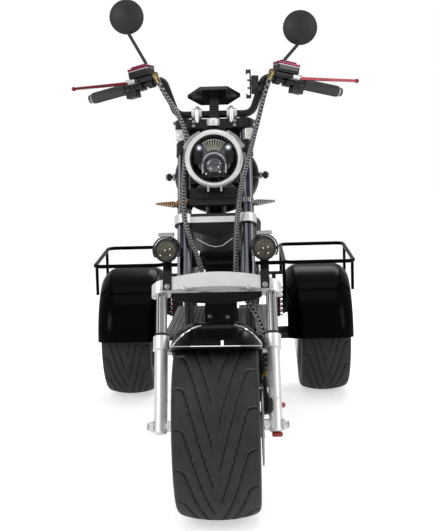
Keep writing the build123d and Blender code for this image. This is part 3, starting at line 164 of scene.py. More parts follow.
lamp("key", (-2.7, -3.0, 2.6), (0, -0.3, 0.5), (1.8, 1.8), 54)
lamp("fill", (2.8, -2.2, 2.2), (0, -0.3, 0.6), (1.6, 2.2), 34)
lamp("rear_rim", (0.6, 3.0, 2.8), (0, 0.3, 0.6), (2.4, 1.2), 40)
lamp("top", (0, -0.2, 4.0), (0, 0, 0.5), (2.5, 2.5), 16)

world = bpy.data.worlds.new("studio")
bpy.context.scene.world = world
world.use_nodes = True
world.node_tree.nodes["Background"].inputs["Color"].default_value = (1, 1, 1, 1)


def seen_directly(tree, otherwise, seen):
    """A strength that is one value for rays from the camera and another for light."""
    rays = tree.nodes.new("ShaderNodeLightPath")
    level = tree.nodes.new("ShaderNodeMapRange")
    level.inputs["To Min"].default_value = otherwise
    level.inputs["To Max"].default_value = seen
    tree.links.new(rays.outputs["Is Camera Ray"], level.inputs["Value"])
    return level.outputs["Result"]


tree = world.node_tree
tree.links.new(seen_directly(tree, ROOM_LIGHT, 1.0), tree.nodes["Background"].inputs["Strength"])


def stage_plain(name, colour, glow):
    """Finish of the floor: a matt colour with a glow that is stronger for the camera."""
    stuff = bpy.data.materials.new(name)
    stuff.use_nodes = True
    tree = stuff.node_tree
    shader = tree.nodes["Principled BSDF"]
    shader.inputs["Base Color"].default_value = (*colour, 1)
    shader.inputs["Roughness"].default_value = 0.9
    shader.inputs["Specular IOR Level"].default_value = 0.1
    shader.inputs["Emission Color"].default_value = (1, 1, 1, 1)
    tree.links.new(seen_directly(tree, glow, SEEN_FLOOR), shader.inputs["Emission Strength"])
    return stuff


ground = bmesh.new()
bmesh.ops.create_grid(ground, x_segments=1, y_segments=1, size=FLOOR_HALF)
floor_mesh = bpy.data.meshes.new("floor")
ground.to_mesh(floor_mesh)
ground.free()
floor = bpy.data.objects.new("floor", floor_mesh)
bpy.context.scene.collection.objects.link(floor)
floor_mesh.materials.append(stage_plain("floor_white", (FLOOR_GREY,) * 3, FLOOR_GLOW))
print("lights", len(bpy.data.lights), "floor", 2 * FLOOR_HALF, "m wide")

# %% [markdown]
# A real finish is never one colour. Each one here starts from the main shader and then adds its own small
# variation: orange peel under gloss paint, sand grain on castings, smears on chrome, dust in rubber.
# The sums are written as ordinary maths by a small class that wraps a socket, so `1 - grain * 0.3` builds nodes.

# %% A socket that can be calculated with
class Wire:
    """A value on its way through a material. Arithmetic on it adds Math nodes."""

    def __init__(self, finish, socket):
        self.finish = finish
        self.socket = socket

    def maths(self, operation, *terms):
        return self.finish.node("ShaderNodeMath", {"operation": operation}, *terms)

    def __add__(self, other):
        return self.maths("ADD", self, other)

    def __sub__(self, other):
        return self.maths("SUBTRACT", self, other)

    def __rsub__(self, other):
        return self.maths("SUBTRACT", other, self)

    def __mul__(self, other):
        return self.maths("MULTIPLY", self, other)

    def __truediv__(self, other):
        return self.maths("DIVIDE", self, other)

    def __pow__(self, other):
        return self.maths("POWER", self, other)

    def __mod__(self, other):
        return self.maths("MODULO", self, other)

    def __gt__(self, other):
        return self.maths("GREATER_THAN", self, other)

    def __abs__(self):
        return self.maths("ABSOLUTE", self)

    __radd__ = __add__
    __rmul__ = __mul__

    def least(self, other):
        return self.maths("MINIMUM", self, other)

    def most(self, other):
        return self.maths("MAXIMUM", self, other)

    def between(self, start, end, to_start=0.0, to_end=1.0):
        """Smooth step from one value to another as this one goes from start to end."""
        return self.finish.node(
            "ShaderNodeMapRange", {"interpolation_type": "SMOOTHSTEP"}, self, start, end, to_start, to_end
        )


class Finish:
    """A material under construction: its main shader, and the nodes that feed it."""

    def __init__(self, name, colour, roughness, metallic=0.0, **settings):
        self.material = bpy.data.materials.new(name)
        self.material.use_nodes = True
        self.tree = self.material.node_tree
        self.shader = self.tree.nodes["Principled BSDF"]
        self.shader.inputs["Base Color"].default_value = (*colour, 1)
        self.shader.inputs["Roughness"].default_value = roughness
        self.shader.inputs["Metallic"].default_value = metallic
        for label, value in settings.items():
            self.shader.inputs[label.replace("_", " ")].default_value = value

    def node(self, kind, settings, *values, out=0, named=None):
        """Any node: its settings are set first, then its sockets get numbers, colours or wires."""
        made = self.tree.nodes.new(kind)
        for label, value in settings.items():
            setattr(made, label, value)
        sockets = list(zip(made.inputs, values)) + [(made.inputs[k], v) for k, v in (named or {}).items()]
        for socket, value in sockets:
            if isinstance(value, Wire):
                self.tree.links.new(value.socket, socket)
            elif value is not None:
                socket.default_value = value
        return Wire(self, made.outputs[out])

    def feed(self, label, wire):
        self.tree.links.new(wire.socket, self.shader.inputs[label])
        return self

    def places(self, out=3):
        """Object coordinates, or with out=2 the piece's own UV map."""
        return self.node("ShaderNodeTexCoord", {}, out=out)

    def axis(self, place, number):
        return self.node("ShaderNodeSeparateXYZ", {}, place, out=number)

    def noise(self, scale, detail=3.0, rough=0.55, place=None):
        named = {"Vector": place or self.places(), "Scale": scale, "Detail": detail, "Roughness": rough}
        return self.node("ShaderNodeTexNoise", {}, named=named)

    def cells(self, scale, feature="F1", place=None):
        return self.node(
            "ShaderNodeTexVoronoi", {"feature": feature}, named={"Vector": place or self.places(), "Scale": scale}
        )

    def mix(self, share, first, second):
        """Colour between two colours."""
        made = self.tree.nodes.new("ShaderNodeMix")
        made.data_type = "RGBA"
        made.clamp_factor = True
        for socket, value in ((made.inputs[0], share), (made.inputs[6], first), (made.inputs[7], second)):
            if isinstance(value, Wire):
                self.tree.links.new(value.socket, socket)
            else:
                socket.default_value = value if not isinstance(value, tuple) else (*value[:3], 1)
        return Wire(self, made.outputs[2])

    def bump(self, height, depth, strength=1.0):
        """Raised detail of so many metres of depth."""
        raised = self.node("ShaderNodeBump", {}, named={"Height": height, "Distance": depth, "Strength": strength})
        return self.feed("Normal", raised)


# %% [markdown]
# The paint is a thick black gloss: a dark base under clear coat, with a faint orange peel and a trace of dust.
# The frame tubes are satin black, and castings are bead-blasted and lacquered silver. The fork tubes are chrome
# that mirrors a dark room. Seen from the front such a tube shows streaks of reflection along it, and these are
# painted into its colour as painted reflections.

# %% Paint and metal finishes
gloss_black = Finish(
    "gloss_black", (0.0006, 0.0006, 0.0008), 0.3, Coat_Weight=0.04, Coat_Roughness=0.03, Specular_IOR_Level=0.03
)
peel = gloss_black.noise(90, 2)
dust = gloss_black.noise(14, 6, 0.7).between(0.55, 0.85)
gloss_black.feed("Base Color", gloss_black.mix(dust * 0.2, (0.0006, 0.0006, 0.0008), (0.006, 0.006, 0.0065)))
gloss_black.feed("Roughness", peel * 0.08 + 0.2)
gloss_black.bump(peel, 0.00012, 0.35)

frame_paint = Finish(
    "frame_paint", (0.005, 0.005, 0.0055), 0.34, Coat_Weight=0.25, Coat_Roughness=0.15, Specular_IOR_Level=0.25
)
peel = frame_paint.noise(160, 3)
rub = frame_paint.noise(9, 5, 0.65).between(0.6, 0.75)
frame_paint.feed("Base Color", frame_paint.mix(rub * 0.5, (0.005, 0.005, 0.0055), (0.014, 0.014, 0.015)))
frame_paint.feed("Roughness", peel * 0.2 + 0.24)
frame_paint.bump(peel, 0.00015, 0.4)


def casting(name):
    """Blasted and lacquered silver casting."""
    made = Finish(name, (0.8, 0.8, 0.79), 0.36, 0.6, Coat_Weight=0.3, Coat_Roughness=0.2)
    grain = made.noise(700, 2)
    cloud = made.noise(18, 5, 0.6)
    made.feed("Roughness", cloud * 0.22 + grain * 0.1 + 0.22)
    made.bump(grain, 0.0002, 0.35)
    return made, made.mix(cloud.between(0.35, 0.75), (0.86, 0.86, 0.85), (0.72, 0.72, 0.71))


cast_silver, silver = casting("cast_silver")
cast_silver.feed("Base Color", silver)

# The lower clamp carries painted shade: black underneath, and along the top of its front between the tubes.
clamp_silver, silver = casting("clamp_silver")
spot = clamp_silver.places()
backwards, upwards = clamp_silver.axis(spot, 1) - AXLE_Y, clamp_silver.axis(spot, 2) - WHEEL_RADIUS
along_fork = backwards * sin(FORK_RAKE) + upwards * cos(FORK_RAKE)
inner = abs(clamp_silver.axis(spot, 0)).between(0.069, 0.0705, 1.0, 0.0)
clamp_shade = along_fork.between(0.5690, 0.5696, 1.0, 0.0).most(along_fork.between(0.5865, 0.5875) * inner)
clamp_silver.feed("Base Color", clamp_silver.mix(clamp_shade, silver, (0.006, 0.006, 0.0065)))
clamp_silver.feed("Metallic", clamp_shade * -0.6 + 0.6)

chrome = Finish("chrome", (0.82, 0.83, 0.85), 0.07, 1.0)
smear = chrome.noise(25, 6, 0.7)
chrome.feed("Roughness", smear.between(0.45, 0.8) * 0.14 + 0.05)
chrome.feed("Base Color", chrome.mix(smear.between(0.5, 0.9) * 0.4, (0.84, 0.85, 0.87), (0.66, 0.66, 0.67)))
chrome.bump(smear, 0.0001, 0.15)

steel = Finish("steel", (0.42, 0.42, 0.43), 0.35, 1.0)
brushed = steel.node("ShaderNodeVectorMath", {"operation": "MULTIPLY"}, steel.places(), (30, 30, 900))
lines = steel.noise(1, 3, 0.6, brushed)
steel.feed("Roughness", lines * 0.3 + 0.2)
steel.feed("Base Color", steel.mix(lines, (0.5, 0.5, 0.51), (0.3, 0.3, 0.31)))
steel.bump(lines, 0.00008, 0.4)

alloy = Finish("alloy", (0.5, 0.51, 0.52), 0.3, 0.9, Coat_Weight=0.3, Coat_Roughness=0.12)
grain = alloy.noise(420, 3)
cloud = alloy.noise(12, 5)
alloy.feed("Base Color", alloy.mix(cloud, (0.58, 0.59, 0.6), (0.4, 0.4, 0.41)))
alloy.feed("Roughness", grain * 0.15 + cloud * 0.15 + 0.18)
alloy.bump(grain, 0.00015, 0.3)


def anodised(name, colour, deep):
    """Coloured oxide on turned aluminium: bright on the crowns, deeper where the dye pooled."""
    made = Finish(name, colour, 0.28, 0.85, Coat_Weight=0.5, Coat_Roughness=0.1)
    pool = made.noise(60, 4)
    made.feed("Base Color", made.mix(pool.between(0.35, 0.7), colour, deep))
    made.feed("Roughness", made.noise(800, 2) * 0.2 + 0.16)
    made.bump(made.noise(500, 2), 0.0001, 0.3)
    return made


red_metal = anodised("red_metal", (0.24, 0.008, 0.014), (0.13, 0.004, 0.008))
plum_metal = anodised("plum_metal", (0.24, 0.015, 0.05), (0.1, 0.006, 0.03))
gold_metal = anodised("gold_metal", (0.34, 0.26, 0.09), (0.16, 0.12, 0.05))
print("paints and metals", len(bpy.data.materials))

# %% [markdown]
# Rubber, moulded plastic and leather differ mostly in their grain: pebbles in plastic, pores and creases in
# leather, scuffs on the floorboards. The braid of the hoses is two families of strands on the tube's own map.

# %% Rubber, plastic and leather finishes
black_plastic = Finish("black_plastic", (0.008, 0.008, 0.0085), 0.45, Specular_IOR_Level=0.3)
pebble = black_plastic.cells(900)
black_plastic.feed("Roughness", pebble * 0.25 + 0.36)
cloud = black_plastic.noise(20, 5)
black_plastic.feed("Base Color", black_plastic.mix(cloud, (0.014, 0.014, 0.015), (0.03, 0.03, 0.031)))
black_plastic.bump(pebble, 0.00015, 0.4)

glossy_plastic = Finish("glossy_plastic", (0.005, 0.005, 0.0055), 0.16, Coat_Weight=0.2, Specular_IOR_Level=0.35)
haze = glossy_plastic.noise(50, 5)
glossy_plastic.feed("Roughness", haze * 0.18 + 0.08)
glossy_plastic.bump(haze, 0.0001, 0.2)

rubber_grip = Finish("rubber_grip", (0.022, 0.022, 0.024), 0.72)
pebble = rubber_grip.noise(600, 3)
rubber_grip.feed("Roughness", pebble * 0.25 + 0.58)
rubber_grip.feed("Base Color", rubber_grip.mix(pebble, (0.022, 0.022, 0.024), (0.07, 0.07, 0.073)))
rubber_grip.bump(pebble, 0.0002, 0.4)

seat_leather = Finish("seat_leather", (0.006, 0.0058, 0.0058), 0.42, Specular_IOR_Level=0.3)
creases = seat_leather.cells(420, "DISTANCE_TO_EDGE").between(0.0, 0.12)
pores = seat_leather.noise(1300, 2)
wear = seat_leather.noise(7, 5, 0.65)
rubbed = seat_leather.mix(wear.between(0.45, 0.75), (0.005, 0.005, 0.005), (0.013, 0.0125, 0.0125))
seat_leather.feed("Base Color", rubbed)
seat_leather.feed("Roughness", wear * 0.2 + 0.34 - creases * 0.05)
seat_leather.bump(creases + pores * 0.3, 0.0004, 0.5)

thread = Finish("thread", (0.62, 0.61, 0.58), 0.8)
ply = thread.noise(1800, 2)
thread.feed("Base Color", thread.mix(ply, (0.45, 0.44, 0.42), (0.75, 0.74, 0.71)))
thread.bump(ply, 0.0002, 0.5)

ribbed_rubber = Finish("ribbed_rubber", (0.013, 0.013, 0.0135), 0.6)
scuff = ribbed_rubber.noise(35, 6, 0.7)
ribbed_rubber.feed("Base Color", ribbed_rubber.mix(scuff.between(0.4, 0.75), (0.06, 0.06, 0.062), (0.2, 0.2, 0.2)))
ribbed_rubber.feed("Roughness", scuff * 0.3 + 0.4)
ribbed_rubber.bump(ribbed_rubber.noise(500, 3), 0.0002, 0.4)

braid = Finish("braid", (0.012, 0.012, 0.013), 0.4, 0.2)
flat = braid.places(out=2)
along, round_it = braid.axis(flat, 0), braid.axis(flat, 1)
first = abs((along + round_it * 2 + 50) % 1 - 0.5)
second = abs((along - round_it * 2 + 50) % 1 - 0.5)
strands = first.between(0.38, 0.43).most(second.between(0.38, 0.43))
braid.feed("Base Color", braid.mix(strands, (0.006, 0.006, 0.007), (0.36, 0.36, 0.365)))
braid.feed("Roughness", strands * -0.12 + 0.42)
braid.bump(strands, 0.0008, 0.6)


def chrome_with_painted_streaks(name, centre, radius, deep, base):
    """Chrome with painted reflections: bright and dark streaks painted along it at fixed distances from its middle.
    """
    made = Finish(name, base, 0.1, 1.0)
    off = (abs(made.axis(made.places(), 0)) - centre) * (1 / radius)
    # Painted reflections: bright streaks towards either edge and a bright core near the middle, dark elsewhere.
    reflection_streaks = abs(off).between(0.52, 0.66) - abs(off).between(0.76, 0.88)
    reflection_core = abs(off + 0.1).between(0.0, 0.3, 1.0, 0.0) * 0.55
    patches = made.noise(8, 3).between(0.6, 0.8) * 0.2
    made.feed("Base Color", made.mix(reflection_streaks.most(reflection_core) + patches, deep, base))
    made.feed("Roughness", made.noise(25, 5) * 0.08 + 0.06)
    return made


dark_reflection_chrome = chrome_with_painted_streaks("dark_reflection_chrome", TUBE_X, 0.020, (0.03, 0.034, 0.045), (0.6, 0.62, 0.66))
stanchion_chrome = chrome_with_painted_streaks("stanchion_chrome", LEG_X, 0.015, (0.1, 0.1, 0.105), (0.85, 0.85, 0.86))
print("with rubber, plastic and leather", len(bpy.data.materials))

# %% [markdown]
# A lamp shows its depth through clear plastic. The lens therefore passes light with little bending, the bowl
# behind it is a dim mirror, and coloured plastics carry a pattern of small pillows, as moulded lenses do.

# %% Optics finishes
lamp_glass = Finish("lamp_glass", (1, 1, 1), 0.0, Transmission_Weight=1.0, IOR=1.12)
lamp_glass.feed("Roughness", lamp_glass.noise(60, 5).between(0.5, 0.8) * 0.05 + 0.01)
reflector = Finish("reflector", (0.16, 0.17, 0.19), 0.14, 1.0)
reflector.feed("Roughness", reflector.noise(90, 4) * 0.15 + 0.06)
reflector.bump(reflector.noise(60, 2), 0.0003, 0.2)
# Front signals with painted reflections: the left one is painted amber and the right one grey, and stripes of painted
# glints lie across the ribs.
signal_glint_metal = Finish("signal_glint_metal", (0.2, 0.19, 0.18), 0.3, 0.7, Coat_Weight=0.6)
sideways = signal_glint_metal.axis(signal_glint_metal.places(), 0)
rib = abs((abs(sideways) * 160) % 1 - 0.5)
glint_tint = signal_glint_metal.mix(sideways > 0, (0.5, 0.27, 0.12), (0.42, 0.41, 0.4))
signal_glint_metal.feed("Base Color", signal_glint_metal.mix(rib.between(0.15, 0.35), (0.04, 0.035, 0.03), glint_tint))
signal_glint_metal.feed("Roughness", rib * 0.4 + 0.15)

tinted_fin = Finish("tinted_fin", (0.62, 0.6, 0.36), 0.22, 0.6)
tint = tinted_fin.noise(40, 3).between(0.35, 0.65)
tinted_fin.feed("Base Color", tinted_fin.mix(tint, (0.34, 0.36, 0.38), (0.5, 0.5, 0.36)))
tinted_fin.feed("Roughness", tinted_fin.noise(200, 3) * 0.2 + 0.12)
led = Finish("led", (0.95, 0.96, 1.0), 0.2, Emission_Color=(0.9, 0.95, 1.0, 1), Emission_Strength=0.35)
led.feed("Roughness", led.noise(400, 2) * 0.2 + 0.1)
led.bump(led.cells(600), 0.0003, 0.5)


def moulded_lens(name, colour, deep):
    """Coloured lens plastic with fine optical pillows moulded inside."""
    made = Finish(name, colour, 0.08, Coat_Weight=0.6, Coat_Roughness=0.04)
    pillows = made.cells(240)
    made.feed("Base Color", made.mix(pillows, colour, deep))
    made.feed("Roughness", pillows * 0.15 + 0.06)
    made.bump(pillows, 0.0005, 0.5)
    return made


red_lens = moulded_lens("red_lens", (0.5, 0.012, 0.012), (0.22, 0.004, 0.006))
light_guide = Finish("light_guide", (0.78, 0.8, 0.82), 0.18, Transmission_Weight=0.35, Coat_Weight=0.6)
milk = light_guide.noise(55, 3)
light_guide.feed("Base Color", light_guide.mix(milk, (0.84, 0.86, 0.88), (0.62, 0.64, 0.66)))
light_guide.feed("Roughness", milk * 0.15 + 0.12)

projector_glass = Finish("projector_glass", (0.05, 0.055, 0.06), 0.03, Coat_Weight=1.0, Coat_Roughness=0.01)
ring = projector_glass.noise(30, 2)
projector_glass.feed("Base Color", projector_glass.mix(ring, (0.02, 0.024, 0.03), (0.12, 0.13, 0.15)))
projector_glass.feed("Roughness", ring * 0.04 + 0.02)

amber_bowl = Finish("amber_bowl", (0.2, 0.16, 0.06), 0.16, 0.55, Coat_Weight=0.9, Coat_Roughness=0.04)
facet = amber_bowl.cells(260)
amber_bowl.feed("Base Color", amber_bowl.mix(facet.between(0.1, 0.7), (0.11, 0.092, 0.045), (0.03, 0.025, 0.014)))
amber_bowl.feed("Roughness", facet * 0.2 + 0.1)
amber_bowl.bump(facet, 0.0008, 0.5)

mirror_glass = Finish("mirror_glass", (0.88, 0.9, 0.92), 0.02, 1.0)
mirror_glass.feed("Roughness", mirror_glass.noise(30, 5).between(0.5, 0.9) * 0.06 + 0.012)
screen_glass = Finish("screen_glass", (0.006, 0.007, 0.009), 0.06, Coat_Weight=1.0, Coat_Roughness=0.02)
screen_glass.feed("Roughness", screen_glass.noise(40, 5).between(0.45, 0.8) * 0.12 + 0.04)

tyre_rubber = Finish("tyre_rubber", (0.03, 0.03, 0.032), 0.7)
wall = tyre_rubber.noise(55, 5, 0.65)
tyre_rubber.feed("Base Color", tyre_rubber.mix(wall.between(0.35, 0.75), (0.022, 0.022, 0.024), (0.05, 0.05, 0.052)))
tyre_rubber.feed("Roughness", wall * 0.3 + 0.5)
tyre_rubber.bump(tyre_rubber.noise(500, 3), 0.0003, 0.4)
print("with optics", len(bpy.data.materials))

# %% [markdown]
# Where the engineering shape is already right it stays, and only takes its finish here.

# %% Finish the carried-over parts
case_black = Finish("case_black", (0.0025, 0.0025, 0.0027), 0.55, Specular_IOR_Level=0.12)
sand = case_black.noise(600, 2)
case_black.feed("Base Color", case_black.mix(case_black.noise(10, 5), (0.002, 0.002, 0.0022), (0.006, 0.006, 0.0065)))
case_black.bump(sand, 0.0003, 0.4)

for finish, members in (
    (gloss_black, "front_fender rear_fender_left rear_fender_right tank_cover fender_rails"),
    (frame_paint, "main_frame rear_axle_beam headlight_bracket upper_clamp fork_shroud lever_clamps tank_pegs"),
    (cast_silver, "fork_legs bridge_plate bar_risers front_axle headlight_housing"),
    (clamp_silver, "lower_clamp"),
    (dark_reflection_chrome, "fork_tubes"),
    (stanchion_chrome, "fork_stanchions"),
    (alloy, "front_rim rear_rim_left rear_rim_right"),
    (steel, "front_disc rear_disc_left rear_disc_right"),
    (glossy_plastic, "spotlights display headlight_unit"),
    (case_black, "battery_case"),
    (black_plastic, "switch_boxes mirrors front_caliper rear_calipers tail_lamp shock_absorbers holder_clip"),
    (braid, "brake_hoses"),
    (ribbed_rubber, "floorboards"),
    (frame_paint, "handlebar"),
    (signal_glint_metal, "front_signals"),
    (red_metal, "brake_levers"),
    (rubber_grip, "grips"),
    (lamp_glass, "headlight_lens"),
    (tyre_rubber, "front_tyre rear_tyre_left rear_tyre_right"),
    (seat_leather, "seat"),
):
    for member in members.split():
        node = frame["nodes"][member]
        node.data.materials.clear()
        node.data.materials.append(finish.material)

# %% [markdown]
# Small hard parts are mostly turned or cut from plate. Two helpers cover them: `turned` spins a profile round an
# axis as a lathe would, and `slab` extrudes an outline and breaks its edges. `pipe` follows a smooth route, and
# `keep` turns the finished bmesh into an object that rides on its body.

# %% Building helpers
def turned(shape, profile, place, steps=48, closed=False):
    """Spin a profile of (radius, height) round the local Z of a place."""
    before = set(shape.verts)
    points = [shape.verts.new((radius, 0, height)) for radius, height in profile]
    pairs = list(zip(points, points[1:]))
    if closed:
        pairs.append((points[-1], points[0]))
    edges = [shape.edges.new(pair) for pair in pairs]
    bmesh.ops.spin(
        shape, geom=points + edges, cent=(0, 0, 0), axis=(0, 0, 1), angle=tau, steps=steps, use_merge=True
    )
    fresh = [v for v in shape.verts if v not in before]
    bmesh.ops.transform(shape, matrix=place, verts=fresh)
    return fresh


def slab(shape, outline, depth, place, edge=0.0, segments=2):
    """Plate of an outline in the local XY of a place, grown along its Z, with its edges broken."""
    before = set(shape.verts)
    face = shape.faces.new([shape.verts.new((x, y, 0)) for x, y in outline])
    grown = bmesh.ops.extrude_face_region(shape, geom=[face])
    top = [part for part in grown["geom"] if isinstance(part, bmesh.types.BMVert)]
    bmesh.ops.translate(shape, verts=top, vec=(0, 0, depth))
    fresh = [v for v in shape.verts if v not in before]
    if edge:
        rims = {e for v in fresh for e in v.link_edges}
        bmesh.ops.bevel(
            shape, geom=list(rims), offset=edge, segments=segments, profile=0.5, affect="EDGES", material=-1
        )
        fresh = [v for v in shape.verts if v not in before]
    bmesh.ops.transform(shape, matrix=place, verts=fresh)
    return fresh


def polygon(count, radius, start=0.0):
    return [(radius * cos(start + tau * k / count), radius * sin(start + tau * k / count)) for k in range(count)]


def rounded(width, height, corner, steps=4):
    """Outline of a rectangle with rounded corners."""
    points = []
    for quarter, (sx, sy) in enumerate(((1, 1), (-1, 1), (-1, -1), (1, -1))):
        for k in range(steps + 1):
            a = pi / 2 * (quarter + k / steps)
            points.append((sx * (width / 2 - corner) + corner * cos(a), sy * (height / 2 - corner) + corner * sin(a)))
    return points


def pipe(points, radius, sides=4, order=3, closed=False, detail=10):
    """Mesh of a round bar that follows a smooth route."""
    route = bpy.data.curves.new("route", "CURVE")
    route.dimensions = "3D"
    line = route.splines.new("NURBS")
    line.points.add(len(points) - 1)
    for target, point in zip(line.points, points):
        target.co = (*point, 1)
    line.order_u = min(order, len(points))
    line.use_endpoint_u = not closed
    line.use_cyclic_u = closed
    route.resolution_u = detail
    route.bevel_depth = radius
    route.bevel_resolution = sides
    route.use_fill_caps = True
    thing = bpy.data.objects.new("route", route)
    mesh = bpy.data.meshes.new_from_object(thing)
    bpy.data.objects.remove(thing)
    return mesh


def shown(name, mesh, finish, body, angle=35):
    """Put a finished mesh in the scene, riding on a body."""
    thing = bpy.data.objects.new(name, mesh)
    bpy.context.scene.collection.objects.link(thing)
    mesh.materials.clear()
    mesh.materials.append(finish.material)
    mesh.polygons.foreach_set("use_smooth", [True] * len(mesh.polygons))
    mesh.set_sharp_from_angle(angle=radians(angle))
    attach(thing, body)
    print(name, "faces", len(mesh.polygons), "rides on", body)
    return thing


def keep(name, shape, finish, body, angle=35, both=False):
    """Close the bmesh, mirror it to the other side if asked, and show it."""
    bmesh.ops.remove_doubles(shape, verts=shape.verts, dist=1e-6)
    if both:
        twin = bmesh.ops.duplicate(shape, geom=shape.verts[:] + shape.edges[:] + shape.faces[:])
        verts = [part for part in twin["geom"] if isinstance(part, bmesh.types.BMVert)]
        bmesh.ops.scale(shape, vec=(-1, 1, 1), verts=verts)
    bmesh.ops.recalc_face_normals(shape, faces=shape.faces)
    mesh = bpy.data.meshes.new(name)
    shape.to_mesh(mesh)
    shape.free()
    return shown(name, mesh, finish, body, angle)


def bolt(shape, place, radius, height, sides=6):
    """Hexagon head on a washer, facing along the local Z of a place."""
    turned(shape, [(0, 0), (radius * 1.25, 0), (radius * 1.25, height * 0.2), (0, height * 0.2)], place, 24)
    slab(shape, polygon(sides, radius), height, place @ Matrix.Translation((0, 0, height * 0.15)), height * 0.12)


def bezier(knots, count):
    """Points along a chain of curves; each knot is (start, handle, handle, end)."""
    points = []
    for start, first, second, end in knots:
        run = interpolate_bezier(Vector(start), Vector(first), Vector(second), Vector(end), count)
        points += [tuple(p) for p in run[:-1]]
    points.append(tuple(knots[-1][3]))
    return points


# %% [markdown]
# The tyre is broad and low. Its grooves start at the shoulder, curl, and then run down in long shallow diagonals
# that nearly meet in the middle. The tyre's own UV map counts blocks round the wheel and runs from -1 to 1
# across it. One function says how deep in a groove a point lies. It is used twice: with plain numbers it moves
# the vertices, and with wires it dents the rubber and paints shade into the grooves at full sharpness.

# %% Tread
BLOCKS = 14
BLOCK_LENGTH = tau * WHEEL_RADIUS / BLOCKS
CURL = 0.72
LEAD = 3.7
GROOVE_DEPTH = 0.0042
FRONT_HALF_WIDTH = 0.1075
WALL_RIDGE = 0.186, 0.0012, 0.003  # radius, height and half width of the ridge on the side wall


def limited(value):
    return value.least(1.0).most(0.0) if isinstance(value, Wire) else min(1.0, max(0.0, value))


def in_groove(u, v, half_width=0.0021, soft=0.0009):
    """1 in a groove and 0 on the tread. U counts blocks round the wheel, V runs from -1 to 1 across it."""
    out = abs(v)
    t = CURL - out
    bend = (t * t + 0.003) ** 0.5
    lead = (t + bend) * (LEAD / 2)
    slope = (t / bend + 1) * (LEAD / 2 * BLOCK_LENGTH / FRONT_HALF_WIDTH)
    phase = (u - lead + (v > 0) * 0.5 + 40) % 1
    distance = abs(phase - 0.5) * BLOCK_LENGTH / (slope * slope + 1) ** 0.5
    across = limited((half_width + soft - distance) * (1 / soft))
    along = limited((out - 0.045) * 50) * limited((0.93 - out) * 40)
    return across * along


def tread_finish(name):
    made = Finish(name, (0.03, 0.03, 0.032), 0.7, Specular_IOR_Level=0.35)
    flat = made.places(out=2)
    u, v = made.axis(flat, 0), made.axis(flat, 1)
    groove = in_groove(u, v, 0.0016, 0.0007)
    cloud = made.noise(30, 5, 0.65)
    fine = made.noise(420, 3)
    # Painted highlight along one edge of each groove.
    lit_edge = in_groove(u + 0.022, v, 0.0016, 0.0007)
    rim_line = abs(abs(v) - 0.915).between(0.004, 0.010, 1.0, 0.0)
    worn = made.mix(cloud.between(0.35, 0.7), (0.013, 0.0132, 0.015), (0.023, 0.0235, 0.026))
    edged = made.mix(lit_edge * 0.7, worn, (0.11, 0.11, 0.115))
    # The grooves are painted near-black as painted shade; a thin ring near each side of the tread is painted as dark.
    made.feed("Base Color", made.mix(groove.most(rim_line), edged, (0.003, 0.003, 0.0035)))
    made.feed("Roughness", cloud * 0.25 + fine * 0.1 + 0.42)
    made.bump(fine * 0.2 - groove * 1.5, 0.001, 0.6)
    return made


tread_rubber = tread_finish("tread_rubber")


def tyre(name, node, body, width, centre):
    """Grooved tyre in place of the plain one."""
    half = width / 2
    crown, edge = WHEEL_RADIUS - 0.0004, WHEEL_RADIUS - 0.009
    tread_half = half * 0.7
    side = bezier(
        [
            ((0, crown, 0), (tread_half / 3, crown, 0), (tread_half * 2 / 3, edge + 0.006, 0), (tread_half, edge, 0)),
            ((tread_half, edge, 0), (half * 0.84, edge - 0.004, 0), (half * 0.985, 0.222, 0),
             (half * 0.995, 0.204, 0)),
            ((half * 0.995, 0.204, 0), (half * 1.0, 0.192, 0), (half * 0.98, 0.165, 0), (half - 0.014, 0.1522, 0)),
        ],
        15,
    )
    profile = [(r, x) for x, r, _ in side]
    profile = [(r, -x) for r, x in reversed(profile[1:])] + profile
    shape = bmesh.new()
    place = facing(centre, (1, 0, 0))
    turned(shape, profile, Matrix.Identity(4), 400, closed=True)
    bmesh.ops.remove_doubles(shape, verts=shape.verts, dist=1e-6)
    bmesh.ops.recalc_face_normals(shape, faces=shape.faces)
    sheet = shape.loops.layers.uv.new("tread")
    ridge_at, ridge_height, ridge_half = WALL_RIDGE
    for vertex in shape.verts:
        radius = sqrt(vertex.co.x ** 2 + vertex.co.y ** 2)
        u = atan2(vertex.co.y, vertex.co.x) / tau * BLOCKS
        depth = in_groove(u, vertex.co.z / half) * GROOVE_DEPTH
        ridge = ridge_height * max(0.0, 1 - abs(radius - ridge_at) / ridge_half)
        vertex.co += vertex.normal * (ridge - depth)
    for face in shape.faces:
        middle = face.calc_center_median()
        lead = atan2(middle.y, middle.x) / tau * BLOCKS
        for loop in face.loops:
            u = atan2(loop.vert.co.y, loop.vert.co.x) / tau * BLOCKS
            u += BLOCKS * round((lead - u) / BLOCKS)
            loop[sheet].uv = (u, loop.vert.co.z / half)
    bmesh.ops.transform(shape, matrix=place, verts=shape.verts)
    made = keep(name, shape, tread_rubber, body, 50)
    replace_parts(made, node)


tyre("front_tyre_grooved", "front_tyre", "front_wheel", 0.215, (0, AXLE_Y, WHEEL_RADIUS))
tyre("left_tyre_grooved", "rear_tyre_left", "rear_wheel_left", 0.195, (-REAR_X, REAR_Y, WHEEL_RADIUS))
tyre("right_tyre_grooved", "rear_tyre_right", "rear_wheel_right", 0.195, (REAR_X, REAR_Y, WHEEL_RADIUS))

# %% [markdown]
# The head lamp is open to view, so its inside is built: a bright bowl, a fan of tinted fins at the top, a block
# of cooling fins and a small bright lamp on each side, and a projector under a translucent half ring.
# Everything is set out in the plane of the lens, sideways and upwards from its centre.

# %% Head lamp
low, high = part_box("headlight_lens")
LAMP = Vector((0, low.y, (low.z + high.z) / 2))
LENS_BACK = high.y - low.y


def in_lamp(x=0.0, rise=0.0, depth=0.0, turn=0.0):
    """Place behind the lens: X sideways, Y upwards, Z towards the viewer."""
    spot = LAMP + Vector((x, LENS_BACK + depth, rise))
    return facing(spot, (0, -1, 0)) @ Matrix.Rotation(turn, 4, "Z")


